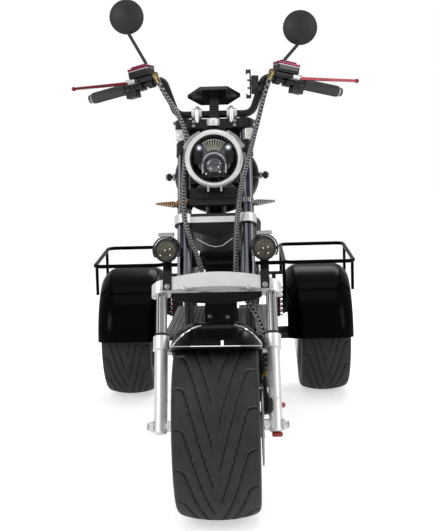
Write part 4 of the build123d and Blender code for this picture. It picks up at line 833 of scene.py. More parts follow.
def arch(inner, outer, start, end, steps=28, drop=0.0):
    """Outline of a half ring, with legs of a given length."""
    angles = [start + (end - start) * k / steps for k in range(steps + 1)]
    out = [(outer * cos(a), outer * sin(a)) for a in angles]
    back = [(inner * cos(a), inner * sin(a)) for a in reversed(angles)]
    if drop:
        out = [(out[0][0], -drop)] + out + [(out[-1][0], -drop)]
        back = [(back[0][0], -drop)] + back + [(back[-1][0], -drop)]
    return out + back


shape = bmesh.new()
turned(
    shape,
    [(0.0655, -0.001), (0.0655, -0.012), (0.0600, -0.030), (0.0500, -0.050), (0, -0.052), (0, -0.0505),
     (0.0490, -0.0485), (0.0585, -0.029), (0.0640, -0.012), (0.0640, -0.001)],
    in_lamp(), 64,
)
keep("lamp_bowl", shape, reflector, "steered")

shape = bmesh.new()
lip = [(0.0672, -0.0005), (0.0672, -0.006), (0.0628, -0.006), (0.0628, -0.0005)]
turned(shape, lip, in_lamp(), 64, closed=True)
for way in (-1, 1):
    for step in range(5):
        slab(shape, rounded(0.026, 0.0034, 0.001, 2), 0.016, in_lamp(way * 0.043, 0.019 - step * 0.0075, 0.020))
    slab(shape, rounded(0.024, 0.036, 0.003), 0.006, in_lamp(way * 0.043, 0.004, 0.026))
slab(shape, arch(0.010, 0.0165, 0, pi), 0.006, in_lamp(0, -0.056, 0.010))
slab(shape, rounded(0.090, 0.010, 0.004), 0.004, in_lamp(0, -0.047, 0.024), 0.001)
cup = [(0, -0.012), (0.029, -0.012), (0.029, -0.002), (0.0262, 0.0), (0.0245, -0.003), (0.0245, -0.010), (0, -0.010)]
turned(shape, cup, in_lamp(0, -0.019, 0.012), 48)
unit = keep("lamp_blocks", shape, glossy_plastic, "steered")
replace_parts(unit, "headlight_unit")

shape = bmesh.new()
for step in range(9):
    lean = radians(-34 + step * 8.5)
    spot = in_lamp(0, 0.0, 0.016, lean) @ Matrix.Translation((0, 0.040, 0))
    slab(shape, rounded(0.0034, 0.026, 0.001, 2), 0.012, spot, 0.0004, 1)
slab(shape, arch(0.0255, 0.0285, radians(50), radians(130), 16), 0.013, in_lamp(0, 0.0, 0.016))
slab(shape, arch(0.052, 0.0545, radians(52), radians(128), 16), 0.013, in_lamp(0, 0.0, 0.016))
keep("lamp_fins", shape, tinted_fin, "steered")

shape = bmesh.new()
for way in (-1, 1):
    turned(shape, [(0.0085, 0), (0.0105, 0.004), (0.0098, 0.004), (0.006, 0.0005), (0, 0.0005), (0, 0)],
           in_lamp(way * 0.041, 0.031, 0.014), 24)
    turned(shape, [(0, 0), (0.004, 0), (0.004, 0.002), (0, 0.002)], in_lamp(way * 0.030, -0.034, 0.014), 16)
ring = [(0.0262, 0), (0.0278, 0), (0.0278, 0.003), (0.0262, 0.003)]
turned(shape, ring, in_lamp(0, -0.019, 0.0125), 48, closed=True)
keep("lamp_cups", shape, reflector, "steered")

shape = bmesh.new()
for way in (-1, 1):
    turned(shape, [(0, 0), (0.0058, 0), (0.0052, 0.0028), (0.003, 0.0046), (0, 0.0052)],
           in_lamp(way * 0.041, 0.031, 0.013), 24)
for x, rise in ((-0.023, -0.042), (0.016, -0.037), (-0.010, -0.027), (0.012, -0.023)):
    turned(shape, [(0, 0), (0.0021, 0), (0.0017, 0.0014), (0, 0.0018)], in_lamp(x, rise, 0.0035), 16)
keep("lamp_leds", shape, led, "steered")

shape = bmesh.new()
slab(shape, arch(0.0305, 0.0350, 0, pi, 32, 0.024), 0.007, in_lamp(0, -0.017, 0.014), 0.0012)
keep("lamp_half_ring", shape, light_guide, "steered")

shape = bmesh.new()
DOME_RADIUS, DOME_FLATNESS = 0.0243, 0.42
dome = [(DOME_RADIUS * sin(a), DOME_RADIUS * cos(a) * DOME_FLATNESS) for a in [pi / 2 * k / 10 for k in range(11)]]
turned(shape, dome + [(0, 0)], in_lamp(0, -0.019, 0.0145), 40)
keep("lamp_projector", shape, projector_glass, "steered")
print("head lamp at", tuple(round(v, 3) for v in LAMP))

# %% [markdown]
# Two spot lamps hang under the bridge. Each has a black can with a bezel, an amber bowl with small bright
# emitters behind a flat glass, and cooling fins round its back.

# %% Spot lamps
SPOT_X, SPOT_Y, SPOT_Z = 0.133, -0.6023, 0.6849


def on_spot(side, x=0.0, rise=0.0, out=0.0):
    return facing((side * SPOT_X + x, SPOT_Y - out, SPOT_Z + rise), (0, -1, 0))


shape = bmesh.new()
for side in (-1, 1):
    bezel = [(0.0318, -0.008), (0.0318, 0.0042), (0.0300, 0.0060), (0.0268, 0.0052), (0.0262, 0.0), (0.0262, -0.008)]
    turned(shape, bezel, on_spot(side), 48, closed=True)
    for step in range(4):
        turned(shape, [(0.030, 0), (0.0332, 0), (0.0332, 0.003), (0.030, 0.003)],
               on_spot(side, out=-0.040 + step * 0.0075), 40, closed=True)
keep("spot_bezels", shape, glossy_plastic, "steered")

shape = bmesh.new()
for side in (-1, 1):
    turned(shape, [(0, 0.0004), (0.012, 0.0004), (0.0262, 0.0034), (0.0262, -0.001), (0, -0.001)], on_spot(side), 40)
keep("spot_bowls", shape, amber_bowl, "steered")

shape = bmesh.new()
for side in (-1, 1):
    for x, rise in ((-0.003, 0.0015), (0.010, 0.0045), (-0.016, -0.012), (0.0105, -0.012)):
        turned(shape, [(0, 0), (0.0017, 0), (0.0014, 0.0012), (0, 0.0016)], on_spot(side, x, rise, 0.0026), 12)
keep("spot_leds", shape, led, "steered")

shape = bmesh.new()
for side in (-1, 1):
    slab(shape, rounded(0.040, 0.0092, 0.002), 0.004, facing((side * SPOT_X, -0.5863, 0.7268), (0, -1, 0)), 0.0008)
    for way in (-1, 1):
        bolt(shape, facing((side * SPOT_X + way * 0.013, -0.5905, 0.7268), (0, -1, 0)), 0.0028, 0.0022)
keep("spot_brackets", shape, alloy, "steered")

# %% [markdown]
# A braided hose is a smooth tube that the vehicle holds from end to end. The control points of its curve are the
# points of its route, given in shares of the fork's own measures: sideways of the distance of an upper tube, back
# of the reach, and up between the two clamps. The tube's map is stretched so that the weave keeps its pitch.

# %% Braided hoses
ROUTES = {
    "right": (
        (1.727, -0.269, 1.389), (1.545, -0.397, 1.152), (1.364, -0.597, 0.902), (1.205, -0.825, 0.685),
        (1.08, -1, 0.507), (0.932, -0.912, 0.37), (0.83, -0.704, 0.264), (0.761, -0.5, 0.153), (0.705, -0.39, 0.031),
        (0.659, -0.279, -0.092), (0.636, -0.08, -0.229), (0.614, 0.2, -0.356), (0.602, 0.4, -0.49),
        (0.818, 0.46, -0.638), (1.227, 0.373, -0.844), (1.477, 0.3, -1.05), (1.477, 0.303, -1.324),
    ),
    "left": (
        (-1.705, -0.269, 1.418), (-1.386, -0.346, 1.235), (-1.102, -0.565, 1.049), (-0.909, -0.677, 0.881),
        (-0.898, -0.593, 0.725), (-0.97, -0.465, 0.575), (-1.011, -0.4, 0.402), (-1.023, -0.385, 0.231),
        (-1, -0.41, 0.079), (-0.92, -0.4, -0.067), (-0.79, -0.28, -0.188), (-0.62, -0.04, -0.291),
        (-0.5, 0.2, -0.385), (-0.43, 0.38, -0.49),
    ),
}
ROUTE_REACH, ROUTE_LOW, ROUTE_SPAN = 0.1, 0.568, 0.302
HOSE_RADIUS = 0.007
BRAID_PITCH = 0.011
BANJO = Vector((0.1729, -0.3018, 1.1862))
CALIPER_END = Vector((0.126, -0.6522, 0.3433))
BLOCK_X, BLOCK_BACK, BLOCK_LOW, BLOCK_TOP = -0.034, 0.042, 0.364, 0.383


def route(side):
    """Points of a hose from its banjo to its end."""
    way = 1 if side == "right" else -1
    points = [Vector((way * BANJO.x, BANJO.y, BANJO.z))]
    for x, back, share in ROUTES[side]:
        points.append(on_fork(x * TUBE_X, back * ROUTE_REACH, ROUTE_LOW + share * ROUTE_SPAN).translation)
    return points + [CALIPER_END if side == "right" else on_fork(BLOCK_X, BLOCK_BACK, BLOCK_TOP).translation]


for side in ("right", "left"):
    mesh = pipe(route(side), HOSE_RADIUS, 5, detail=14)
    points = route(side)
    turns = sum((b - a).length for a, b in zip(points, points[1:])) / BRAID_PITCH
    for corner in mesh.uv_layers[0].data:
        corner.uv.x *= turns
    hose = shown("hose_" + side, mesh, braid, "steered", 60)
    print("hose", side, "braid repeats", round(turns, 1))
    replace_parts(hose, "brake_hoses")

shape = bmesh.new()
for points in (route("right"), route("left")):
    way = (points[1] - points[0]).normalized()
    turned(shape, [(0, 0), (0.0078, 0), (0.0078, 0.016), (0.0074, 0.018), (0.0074, 0.024), (0, 0.024)],
           facing(points[0] + way * 0.002, way), 24)
    turned(shape, [(0, -0.0085), (0.0092, -0.0085), (0.0092, 0.0085), (0, 0.0085)],
           facing(points[0], (0.3, -0.6, 1) if points[0].x > 0 else (-0.3, -0.6, 1)), 28)
    way = (points[-2] - points[-1]).normalized()
    turned(shape, [(0, -0.004), (0.0088, -0.004), (0.0088, 0.016), (0.0078, 0.018), (0, 0.018)],
           facing(points[-1], way), 24)
keep("hose_fittings", shape, gold_metal, "steered")

shape = bmesh.new()
slab(shape, rounded(0.030, 0.028, 0.002), 0.026, on_fork(BLOCK_X, BLOCK_BACK, BLOCK_LOW), 0.001)
turned(shape, [(0, 0), (0.0055, 0), (0.0055, 0.034), (0, 0.034)], Matrix.Translation((0.126, -0.6600, 0.312)), 20)
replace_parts(keep("hose_block", shape, black_plastic, "steered"), "brake_hoses")

# %% [markdown]
# Trim follows the surface that it sits on. `seen_at` looks along the camera's line of sight through a point of
# the picture and finds the surface there, so trim can be drawn where the photograph shows it. `seam` cuts a
# node with a plane and returns the outline of the cut, which a thin bead then follows.

# %% Finding places on the surfaces
PICTURE_WIDTH, PICTURE_HEIGHT = 440, 531
FOCAL = eye.lens / eye.sensor_width * PICTURE_HEIGHT
SURFACES = {}


def surface(node):
    if node not in SURFACES:
        thing = frame["nodes"][node]
        faces = [tuple(face.vertices) for face in thing.data.polygons]
        SURFACES[node] = BVHTree.FromPolygons([thing.matrix_world @ v.co for v in thing.data.vertices], faces)
    return SURFACES[node]


def seen_at(node, across, down):
    """Point and normal of a node under a point of the picture."""
    start = camera.matrix_world.translation
    sight = Vector(((across - PICTURE_WIDTH / 2) / FOCAL, (PICTURE_HEIGHT / 2 - down) / FOCAL, -1))
    point, normal, _, _ = surface(node).ray_cast(start, camera.matrix_world.to_3x3() @ sight)
    return point, normal


def strip(shape, node, picture, width, height=0.0015, steps=14):
    """Flat trim laid on a node along a line of the picture."""
    found = []
    for (x0, y0), (x1, y1) in zip(picture, picture[1:]):
        for step in range(steps + 1):
            share = step / steps
            point, normal = seen_at(node, x0 + (x1 - x0) * share, y0 + (y1 - y0) * share)
            if point is not None and (not found or (point - found[-1][0]).length > 1e-5):
                found.append((point, normal))
    rows = []
    for number, (point, normal) in enumerate(found):
        near = found[max(0, number - 1)][0], found[min(len(found) - 1, number + 1)][0]
        side = (near[1] - near[0]).normalized().cross(normal).normalized() * (width / 2)
        low = [point - side - normal * 0.0008, point + side - normal * 0.0008]
        high = [point + side * 0.8 + normal * height, point - side * 0.8 + normal * height]
        rows.append([shape.verts.new(corner) for corner in low + high])
    for first, second in zip(rows, rows[1:]):
        for k in range(4):
            shape.faces.new((first[k], first[(k + 1) % 4], second[(k + 1) % 4], second[k]))
    if len(rows) > 1:
        shape.faces.new(rows[0])
        shape.faces.new(rows[-1])
    return len(rows)


def seam(node, point, normal):
    """Closed outlines, longest first, where a plane cuts a node."""
    cut = bmesh.new()
    cut.from_mesh(frame["nodes"][node].data)
    bmesh.ops.remove_doubles(cut, verts=cut.verts, dist=1e-5)
    parts = cut.verts[:] + cut.edges[:] + cut.faces[:]
    bmesh.ops.bisect_plane(cut, geom=parts, plane_co=point, plane_no=normal, clear_inner=True, clear_outer=True)
    loops, waiting = [], set(cut.edges)
    while waiting:
        edge = waiting.pop()
        chain = [edge.verts[0], edge.verts[1]]
        growing = True
        while growing:
            growing = False
            for other in chain[-1].link_edges:
                if other in waiting:
                    waiting.remove(other)
                    chain.append(other.other_vert(chain[-1]))
                    growing = True
                    break
        loops.append([v.co.copy() for v in chain])
    cut.free()
    return sorted(loops, key=lambda run: -sum((b - a).length for a, b in zip(run, run[1:])))


def bead(points, radius, gap=0.006):
    """Thin rounded bar along an outline whose points are thinned to an even spacing."""
    kept = [points[0]]
    for point in points[1:-1]:
        if (point - kept[-1]).length > gap:
            kept.append(point)
    return pipe(kept, radius, 2, closed=True, detail=3)


# %% [markdown]
# Chrome strips on the front fender stand in for the highlights along its rounded shoulders and top edge: painted
# highlights. The tank has a seam half way up. Fasteners sit where the parts bolt together. Each is a small turned
# or cut piece, and those of one kind are a single mesh.

# %% Front fender, tank and bridge
# Chrome strips laid where the fender shows highlights: painted highlights.
FENDER_HIGHLIGHT_LINES = (  # points of the picture, width, height, steps
    (((171.3, 347.2), (176.5, 341.0), (183.5, 334.0), (192.0, 328.5), (201.0, 325.5)), 0.0055, 0.0015, 14),
    (((263.7, 346.2), (259.0, 340.0), (252.0, 333.0), (244.0, 327.5), (235.0, 324.5)), 0.0055, 0.0015, 14),
    (((173.5, 346.8), (218.0, 346.4), (262.0, 345.8)), 0.0035, 0.001, 24),
    (((222.3, 340.8), (222.3, 346.0)), 0.0085, 0.0012, 4),
)
TANK_SEAM_Z = 0.878

shape = bmesh.new()
count = sum(strip(shape, "front_fender", *line) for line in FENDER_HIGHLIGHT_LINES)
print("fender trim rows", count)
keep("fender_highlight_strips", shape, chrome, "steered")

loops = seam("tank_cover", (0, 0, TANK_SEAM_Z), (0, 0, 1))
print("tank seam", len(loops), len(loops[0]))
shown("tank_seam", bead(loops[0], 0.0022, 0.02), frame_paint, "chassis")

shape = bmesh.new()
for side in (-1, 1):
    place = facing((side * 0.1565, -0.1563, 0.885), (side, 0, 0))
    bolt(shape, place, 0.009, 0.006)
    turned(shape, [(0.0085, -0.022), (0.0118, -0.022), (0.0118, -0.016), (0.0085, -0.016)], place, 24, closed=True)
keep("peg_nuts", shape, steel, "chassis")

shape = bmesh.new()
for side in (-1, 1):
    for x in (LEG_X, TUBE_X):
        bolt(shape, on_fork(side * x, -0.0285, 0.372) @ Matrix.Rotation(pi / 2, 4, "X"), 0.0052, 0.004)
    for x, up in ((LEG_X, 0.398), (TUBE_X, 0.402)):
        turned(shape, [(0, 0), (0.0115, 0), (0.0115, 0.003), (0.0085, 0.0055), (0, 0.0055)],
               on_fork(side * x, 0, up), 28)
    for x in (0.066, 0.078):
        bolt(shape, on_fork(side * x, 0.0, 0.368) @ Matrix.Rotation(pi, 4, "X"), 0.0058, 0.006)
keep("bridge_bolts", shape, chrome, "steered")

shape = bmesh.new()
for side in (-1, 1):
    bolt(shape, facing((side * 0.133, -0.6086, 0.5875), (0, -1, 0.3)), 0.0062, 0.004)
keep("tab_bolts", shape, steel, "steered")

shape = bmesh.new()
LIP_HALF, LIP_DROP, LIP_STEPS = 0.124, 0.017, 24
arc = [(-LIP_HALF + 2 * LIP_HALF * k / LIP_STEPS, -0.004 - LIP_DROP * sin(pi * k / LIP_STEPS) ** 0.5)
       for k in range(LIP_STEPS + 1)]
lip = [(-LIP_HALF, 0.010)] + arc + [(LIP_HALF, 0.010)]
slab(shape, lip, 0.006, on_fork(0, -0.012, 0.352) @ Matrix.Rotation(pi / 2, 4, "X"), 0.001)
keep("bridge_lip", shape, case_black, "steered")

# %% [markdown]
# Rings, seals and fasteners mark the length of the cast legs. They are turned about the fork's own direction, so
# that they sit square on it.

# %% Fork legs and stanchions
shape = bmesh.new()
for side in (-1, 1):
    for up, radius, tall in ((0.066, 0.0182, 0.0025), (0.204, 0.0226, 0.003)):
        turned(shape, [(0.016, 0), (radius, 0), (radius + 0.0006, tall / 2), (radius, tall), (0.016, tall)],
               on_fork(side * LEG_X, 0, up), 40, closed=True)
    for back in (-0.0125, 0.0125):
        turned(shape, [(0, -0.003), (0.0036, -0.003), (0.0036, 0.004), (0, 0.004)],
               on_fork(side * LEG_X, back, 0.238), 14)
keep("leg_rings", shape, cast_silver, "steered")

shape = bmesh.new()
for side in (-1, 1):
    turned(shape, [(0.0146, 0), (0.0182, 0), (0.0182, 0.006), (0.0165, 0.0085), (0.0146, 0.0085)],
           on_fork(side * LEG_X, 0, 0.2425), 40, closed=True)
keep("dust_seals", shape, black_plastic, "steered")

shape = bmesh.new()
for side in (-1, 1):
    bolt(shape, facing((side * 0.1795, AXLE_Y, WHEEL_RADIUS), (side, 0, 0)), 0.0095, 0.0045)
keep("axle_nuts", shape, steel, "steered")

low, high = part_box("front_caliper")
shape = bmesh.new()
for back, share in ((0.014, 0.28), (0.014, 0.72), (0.034, 0.5)):
    spot = Vector((high.x, high.y - back, low.z + (high.z - low.z) * share))
    bolt(shape, facing(spot, (1, 0, 0)), 0.0038, 0.0032)
keep("caliper_bolts", shape, steel, "steered")

shape = bmesh.new()
turned(shape, [(0, -0.003), (0.0068, -0.003), (0.0068, 0.002), (0.0055, 0.0036), (0, 0.0042)],
       facing((0.1700, -0.7160, 0.281), (0.25, -1, 0)), 28)
slab(shape, rounded(0.028, 0.011, 0.005), 0.016, facing((0.153, -0.750, 0.2150), (0, -1, 0)), 0.002)
keep("leg_reflector", shape, red_lens, "steered")

# %% [markdown]
# The controls are set out in the directions of the right grip: outwards along it, forwards and up.
# The reservoirs have plum caps over a bright rim and a black body. The left side is the mirror image.

# %% Controls on the bar
PERCH = Vector((0.2129, -0.2507, 1.1678))
GRIP_OUT = Vector((0.877, 0.454, -0.156)).normalized()
GRIP_UP = Vector((0.139, 0.072, 0.988))
GRIP_UP = (GRIP_UP - GRIP_OUT * GRIP_UP.dot(GRIP_OUT)).normalized()
GRIP_BACK = GRIP_UP.cross(GRIP_OUT)


def on_grip(out=0.0, ahead=0.0, up=0.0):
    """Place by the right lever clamp: X outwards along the grip, Y backwards, Z up."""
    return axes(GRIP_OUT, GRIP_BACK, GRIP_UP, PERCH + GRIP_OUT * out - GRIP_BACK * ahead + GRIP_UP * up)


def along_bar(out=0.0, ahead=0.0, up=0.0):
    """The same place with Z along the grip."""
    return facing(on_grip(out, ahead, up).translation, GRIP_OUT, GRIP_UP)


shape = bmesh.new()
slab(shape, rounded(0.0756, 0.0436, 0.0068), 0.0068, on_grip(-0.009, 0.019, 0.0397), 0.0014)
slab(shape, rounded(0.060, 0.032, 0.010), 0.0085, on_grip(-0.009, 0.019, 0.0445), 0.0040, 3)
keep("reservoir_caps", shape, plum_metal, "steered", both=True)

shape = bmesh.new()
slab(shape, rounded(0.0268, 0.0225, 0.003), 0.0124, on_grip(0.0130, 0.0405, -0.0007), 0.0008)
slab(shape, rounded(0.0722, 0.0402, 0.004), 0.0026, on_grip(-0.009, 0.019, 0.0370), 0.0005)
for up in (-0.0115, 0.0115):
    spot = on_grip(0.013, -0.0150, up).translation
    slab(shape, rounded(0.0245, 0.008, 0.002), 0.004, facing(spot, GRIP_BACK, GRIP_UP), 0.0006)
keep("perch_arms", shape, alloy, "steered", both=True)

shape = bmesh.new()
slab(shape, rounded(0.0712, 0.0392, 0.004), 0.0188, on_grip(-0.009, 0.019, 0.0188), 0.001)
turned(shape, [(0, -0.0004), (0.0094, -0.0004), (0.0094, 0.020), (0, 0.020)], along_bar(-0.002, 0.027, 0.010), 28)
keep("reservoir_bodies", shape, glossy_plastic, "steered", both=True)

shape = bmesh.new()
for way in (-1, 1):
    turned(shape, [(0, 0), (0.0032, 0), (0.0032, 0.001), (0.0022, 0.0016), (0, 0.0016)],
           on_grip(-0.009 + way * 0.031, 0.019, 0.0462), 16)
turned(shape, [(0, -0.004), (0.0075, -0.004), (0.0075, 0.002), (0, 0.002)], on_grip(0.0275, 0.0445, 0.0105), 24)
bolt(shape, on_grip(0.0275, 0.0445, 0.012), 0.0045, 0.0035)
for up in (-0.011, 0.011):
    bolt(shape, facing(on_grip(0.013, -0.0160, up).translation, GRIP_BACK), 0.0035, 0.0030)
keep("perch_screws", shape, steel, "steered", both=True)

shape = bmesh.new()
for out, ahead, up, wide, deep in ((0.047, 0.0250, 0.004, 0.012, 0.009), (0.047, 0.0250, -0.010, 0.016, 0.006)):
    slab(shape, rounded(wide, deep, 0.002, 2), 0.0035,
         facing(on_grip(out, ahead - 0.004, up).translation, -GRIP_BACK, GRIP_UP), 0.0006)
keep("switch_keys", shape, rubber_grip, "steered", both=True)

GRIP_START, GRIP_END = Vector((0.2678, -0.2223, 1.158)), Vector((0.388, -0.1601, 1.1366))
GRIP_RINGS, RING_PITCH = 19, 0.0061
grip_line = (GRIP_END - GRIP_START).normalized()
shape = bmesh.new()
rib = [(0.0160, 0), (0.0174, 0.0004), (0.0177, 0.0016), (0.0174, 0.0028), (0.0160, 0.0032)]
for ring in range(GRIP_RINGS):
    place = facing(GRIP_START + grip_line * (0.010 + ring * RING_PITCH), grip_line)
    turned(shape, rib, place, 36, closed=True)
keep("grip_ribs", shape, rubber_grip, "steered", both=True)

shape = bmesh.new()
place = facing(GRIP_START + grip_line * 0.1285, grip_line)
plug = [(0, -0.002), (0.0150, -0.002), (0.0156, 0.002), (0.0150, 0.0055), (0.009, 0.0070), (0, 0.0070)]
turned(shape, plug, place, 32)
keep("bar_ends", shape, alloy, "steered", both=True)

MIRRORS = {-1: Vector((-0.268, -0.1741, 1.3826)), 1: Vector((0.268, -0.1741, 1.3346))}
shape = bmesh.new()
for side, centre in MIRRORS.items():
    turned(shape, [(0, -0.0006), (0.0465, -0.0006), (0.0465, 0.0009), (0, 0.0009)], facing(centre, (0, 1, 0)), 48)
keep("mirror_glasses", shape, mirror_glass, "steered")

# %% [markdown]
# Between the bars stand the risers and the display. The lamp hangs from two cranked bars, and a clip with a small
# body holds on to the right side of the bar.

# %% Display, risers and clamps
low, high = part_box("bar_risers")
shape = bmesh.new()
for side in (-1, 1):
    foot = Vector((side * 0.050, (low.y + high.y) / 2, high.z))
    bolt(shape, facing(foot + Vector((0, -0.004, -0.001)), (0, 0.45, 0.89)), 0.006, 0.005)
    for place in (on_fork(side * 0.112, 0, 0.902), on_fork(side * TUBE_X, 0, 0.9025)):
        turned(shape, [(0, -0.001), (0.0105, -0.001), (0.0105, 0.002), (0.008, 0.0042), (0, 0.0042)], place, 28)
    for up in (0.875, 0.889):
        bolt(shape, on_fork(side * 0.060, -0.0278, up) @ Matrix.Rotation(pi / 2, 4, "X"), 0.004, 0.0035)
keep("clamp_bolts", shape, steel, "steered")

shape = bmesh.new()
for side in (-1, 1):
    place = Matrix.Translation((side * 0.0505, -0.3560, 1.0300))
    turned(shape, [(0, 0), (0.0064, 0), (0.0064, 0.046), (0.005, 0.0505), (0.003, 0.0525), (0, 0.053)], place, 28)
turned(shape, [(0, 0), (0.019, 0), (0.0195, 0.003), (0.0195, 0.017), (0.016, 0.0215), (0, 0.022)],
       Matrix.Translation((-0.003, -0.3600, 1.0310)), 40)
for side in (-1, 1):
    slab(shape, rounded(0.024, 0.032, 0.004), 0.010, facing((side * 0.1010, -0.3800, 1.0040), (0, -1, 0.1)), 0.002)
    bolt(shape, facing((side * 0.1010, -0.3895, 1.0040), (0, -1, 0.1)), 0.006, 0.005)
keep("riser_posts", shape, cast_silver, "steered")

shape = bmesh.new()
PICTURE_MIDDLE, POINTS_PER_METRE = 217.4, 357
for across in (211, 224):
    spot = ((across - PICTURE_MIDDLE) / POINTS_PER_METRE, -0.4975, 0.8490)
    slab(shape, rounded(0.0055, 0.017, 0.001, 2), 0.003, facing(spot, (0, -1, 0)), 0.0005)
keep("ring_tabs", shape, alloy, "steered")

shape = bmesh.new()
CRANK = (0.040, -0.470, 1.006), (0.062, -0.462, 0.992), (0.082, -0.448, 0.966)
ahead = Vector((0, -1, 0))
for side in (-1, 1):
    line = [Vector((side * x, y, z)) for x, y, z in CRANK]
    for first, second in zip(line, line[1:]):
        way = second - first
        place = facing((first + second) / 2, ahead, way.cross(ahead))
        slab(shape, rounded(way.length + 0.004, 0.011, 0.002, 2), 0.004, place, 0.0006)
keep("bracket_bars", shape, steel, "steered")

shape = bmesh.new()
slab(shape, rounded(0.022, 0.054, 0.004), 0.024, facing((0.1225, -0.2880, 1.1520), (0, -1, 0)), 0.002)
slab(shape, rounded(0.015, 0.030, 0.003), 0.006, facing((0.1225, -0.3110, 1.1520), (0, -1, 0)), 0.0015)
for step in range(4):
    place = facing((0.1050, -0.2905, 1.1200 + step * 0.0230), (0, -1, 0))
    slab(shape, rounded(0.0105, 0.004, 0.001, 2), 0.0165, place, 0.0006)
keep("holder_body", shape, black_plastic, "steered")

# %% [markdown]
# The saddle is a foam cushion. A copy of its solid is remeshed finely, held along the pleats, and blown up a
# little as cloth under pressure, so the leather swells between the seams.

# %% Saddle
low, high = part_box("seat")
source = frame["nodes"]["seat"].data.copy()
cushion = bpy.data.objects.new("saddle", source)
bpy.context.scene.collection.objects.link(cushion)
middle = Vector(((low.x + high.x) / 2, (low.y + high.y) / 2, (low.z + high.z) / 2))
BEFORE_SWELLING = 0.965, 0.982, 0.93
for vertex in source.vertices:
    vertex.co = middle + Vector([(vertex.co[k] - middle[k]) * BEFORE_SWELLING[k] for k in range(3)])
remesh = cushion.modifiers.new("remesh", "REMESH")
remesh.mode = "VOXEL"
remesh.voxel_size = 0.0055
bpy.context.view_layer.update()
solid = bpy.data.meshes.new_from_object(cushion.evaluated_get(bpy.context.evaluated_depsgraph_get()))
cushion.modifiers.clear()
cushion.data = solid
PLEATS = (-0.066, -0.044, -0.022, 0.0, 0.022, 0.044, 0.066)
MOST_SWELLING = 0.008
LAST_FRAME = 20


def held(spot):
    """How firmly the cover is held: along its base, the pleats of the nose and the seam across the top."""
    if spot.z < low.z + 0.016:
        return 1.0
    if spot.y < low.y + 0.075:
        nearest = min(abs(spot.x - x) for x in PLEATS)
        return 1.0 if nearest < 0.0035 and spot.z < high.z - 0.035 else 0.0
    cross = min(abs((spot.y - low.y - 0.10) % 0.11 - 0.055), 1)
    return 1.0 if cross < 0.0035 and spot.z > high.z - 0.06 and abs(spot.x) < 0.115 else 0.0


grip = cushion.vertex_groups.new(name="held")
for vertex in solid.vertices:
    if held(vertex.co):
        grip.add([vertex.index], 1.0, "REPLACE")
blow = cushion.modifiers.new("blow", "CLOTH")
blow.settings.vertex_group_mass = "held"
blow.settings.quality = 6
blow.settings.mass = 0.3
blow.settings.tension_stiffness = 18
blow.settings.compression_stiffness = 18
blow.settings.bending_stiffness = 4
blow.settings.use_pressure = True
blow.settings.uniform_pressure_force = 4
blow.settings.effector_weights.gravity = 0
blow.settings.pressure_factor = 1
blow.point_cache.frame_start, blow.point_cache.frame_end = 1, LAST_FRAME
for frame_number in range(1, LAST_FRAME + 1):
    bpy.context.scene.frame_set(frame_number)
full = bpy.data.meshes.new_from_object(cushion.evaluated_get(bpy.context.evaluated_depsgraph_get()))
moved = max((a.co - b.co).length for a, b in zip(full.vertices, solid.vertices))
print("saddle cover moved", round(moved, 4))
cushion.modifiers.clear()
for vertex, rest in zip(full.vertices, solid.vertices):
    step = vertex.co - rest.co
    if step.length > MOST_SWELLING:
        vertex.co = rest.co + step * (MOST_SWELLING / step.length)
cushion.data = full
bpy.context.scene.frame_set(1)
smoother = cushion.modifiers.new("smoother", "SUBSURF")
smoother.levels = smoother.render_levels = 1
finer = bpy.data.meshes.new_from_object(cushion.evaluated_get(bpy.context.evaluated_depsgraph_get()))
cushion.modifiers.clear()
cushion.data = finer
print("saddle faces", len(finer.polygons))
finer.materials.clear()
finer.materials.append(seat_leather.material)
finer.polygons.foreach_set("use_smooth", [True] * len(finer.polygons))
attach(cushion, "chassis")
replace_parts(cushion, "seat")

shape = bmesh.new()
faces = [tuple(face.vertices) for face in finer.polygons]
SURFACES["saddle"] = BVHTree.FromPolygons([v.co.copy() for v in finer.vertices], faces)
PIPING = (
    (197.5, 239.0), (203.5, 242.5), (209.0, 245.3), (215.5, 246.8), (222.5, 245.5), (228.0, 241.5), (232.5, 238.0),
)
count = strip(shape, "saddle", PIPING, 0.0032, 0.0016, 8)
print("piping rows", count)
keep("saddle_piping", shape, thread, "chassis")

# %% [markdown]
# Under the cushion lies a shallow pan with ribs across its front, and below it a short post.

# %% Seat pan and its post
shape = bmesh.new()
pan = [(-0.070, 0.0), (-0.052, -0.034), (0.052, -0.034), (0.070, 0.0), (0.070, 0.012), (-0.070, 0.012)]
slab(shape, pan, 0.50, facing((0, 0.470, 0.6220), (0, -1, 0)), 0.002)
for k in range(9):
    slab(shape, rounded(0.0026, 0.030, 0.001, 2), 0.002, facing((-0.044 + k * 0.011, -0.029, 0.606), (0, -1, 0)))
turned(shape, [(0, 0), (0.0078, 0), (0.0078, 0.058), (0, 0.058)], Matrix.Translation((-0.004, -0.044, 0.548)), 20)
keep("seat_pan", shape, case_black, "chassis")

# %% [markdown]
# A spring is a helix: a point goes round and up evenly, and the wire follows it. Wheel nuts and disc bolts stand
# on a circle about their axle, and ride on the wheel, so that they turn with it.

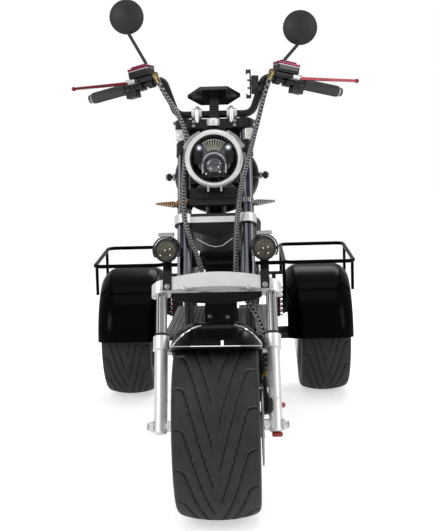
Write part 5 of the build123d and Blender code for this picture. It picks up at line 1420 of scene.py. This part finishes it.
# %% Rear: springs, lamp, wheel and case hardware
SPRING_TURNS, SPRING_STEPS, SPRING_RADIUS, SPRING_END = 6.5, 78, 0.021, 0.045
low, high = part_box("shock_absorbers")
for side, name in ((-1, "spring_left"), (1, "spring_right")):
    x, y = side * (high.x - 0.0125), (low.y + high.y) / 2
    foot, head = Vector((x, y, low.z + SPRING_END)), Vector((x, y, high.z - SPRING_END))
    coil = []
    for k in range(SPRING_STEPS + 1):
        a = tau * SPRING_TURNS * k / SPRING_STEPS
        coil.append(foot + (head - foot) * (k / SPRING_STEPS) + Vector((cos(a), sin(a), 0)) * SPRING_RADIUS)
    shown(name, pipe(coil, 0.0032, 2, detail=3), red_metal, "chassis")

low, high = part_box("tail_lamp")
shape = bmesh.new()
slab(shape, rounded(high.x - low.x - 0.010, high.z - low.z - 0.010, 0.010), 0.0035,
     facing(((low.x + high.x) / 2, high.y - 0.0008, (low.z + high.z) / 2), (0, 1, 0)), 0.0012)
keep("tail_lens", shape, red_lens, "chassis")

shape = bmesh.new()
DISC_BOLTS, DISC_BOLT_CIRCLE = 6, 0.032
for k in range(DISC_BOLTS):
    a = tau * k / DISC_BOLTS
    spot = (0.1174, AXLE_Y + DISC_BOLT_CIRCLE * cos(a), WHEEL_RADIUS + DISC_BOLT_CIRCLE * sin(a))
    bolt(shape, facing(spot, (1, 0, 0)), 0.0042, 0.0028)
keep("front_disc_bolts", shape, steel, "front_wheel")

WHEEL_NUTS, NUT_CIRCLE, NUT_INSET = 5, 0.034, 0.0480
for side, name in ((-1, "left"), (1, "right")):
    low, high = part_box("rear_rim_" + name)
    outer = high.x if side > 0 else -low.x
    shape = bmesh.new()
    for k in range(WHEEL_NUTS):
        a = tau * k / WHEEL_NUTS + 0.3
        spot = (side * (outer - NUT_INSET), REAR_Y + NUT_CIRCLE * cos(a), WHEEL_RADIUS + NUT_CIRCLE * sin(a))
        bolt(shape, facing(spot, (side, 0, 0)), 0.0065, 0.010)
    keep("wheel_nuts_" + name, shape, chrome, "rear_wheel_" + name)

shape = bmesh.new()
for point in ((209.8, 316.5), (227.6, 317.0)):
    spot, normal = seen_at("battery_case", *point)
    if spot is not None:
        bolt(shape, facing(spot - normal * 0.0006, normal), 0.0058, 0.0045)
keep("case_bolts", shape, steel, "chassis")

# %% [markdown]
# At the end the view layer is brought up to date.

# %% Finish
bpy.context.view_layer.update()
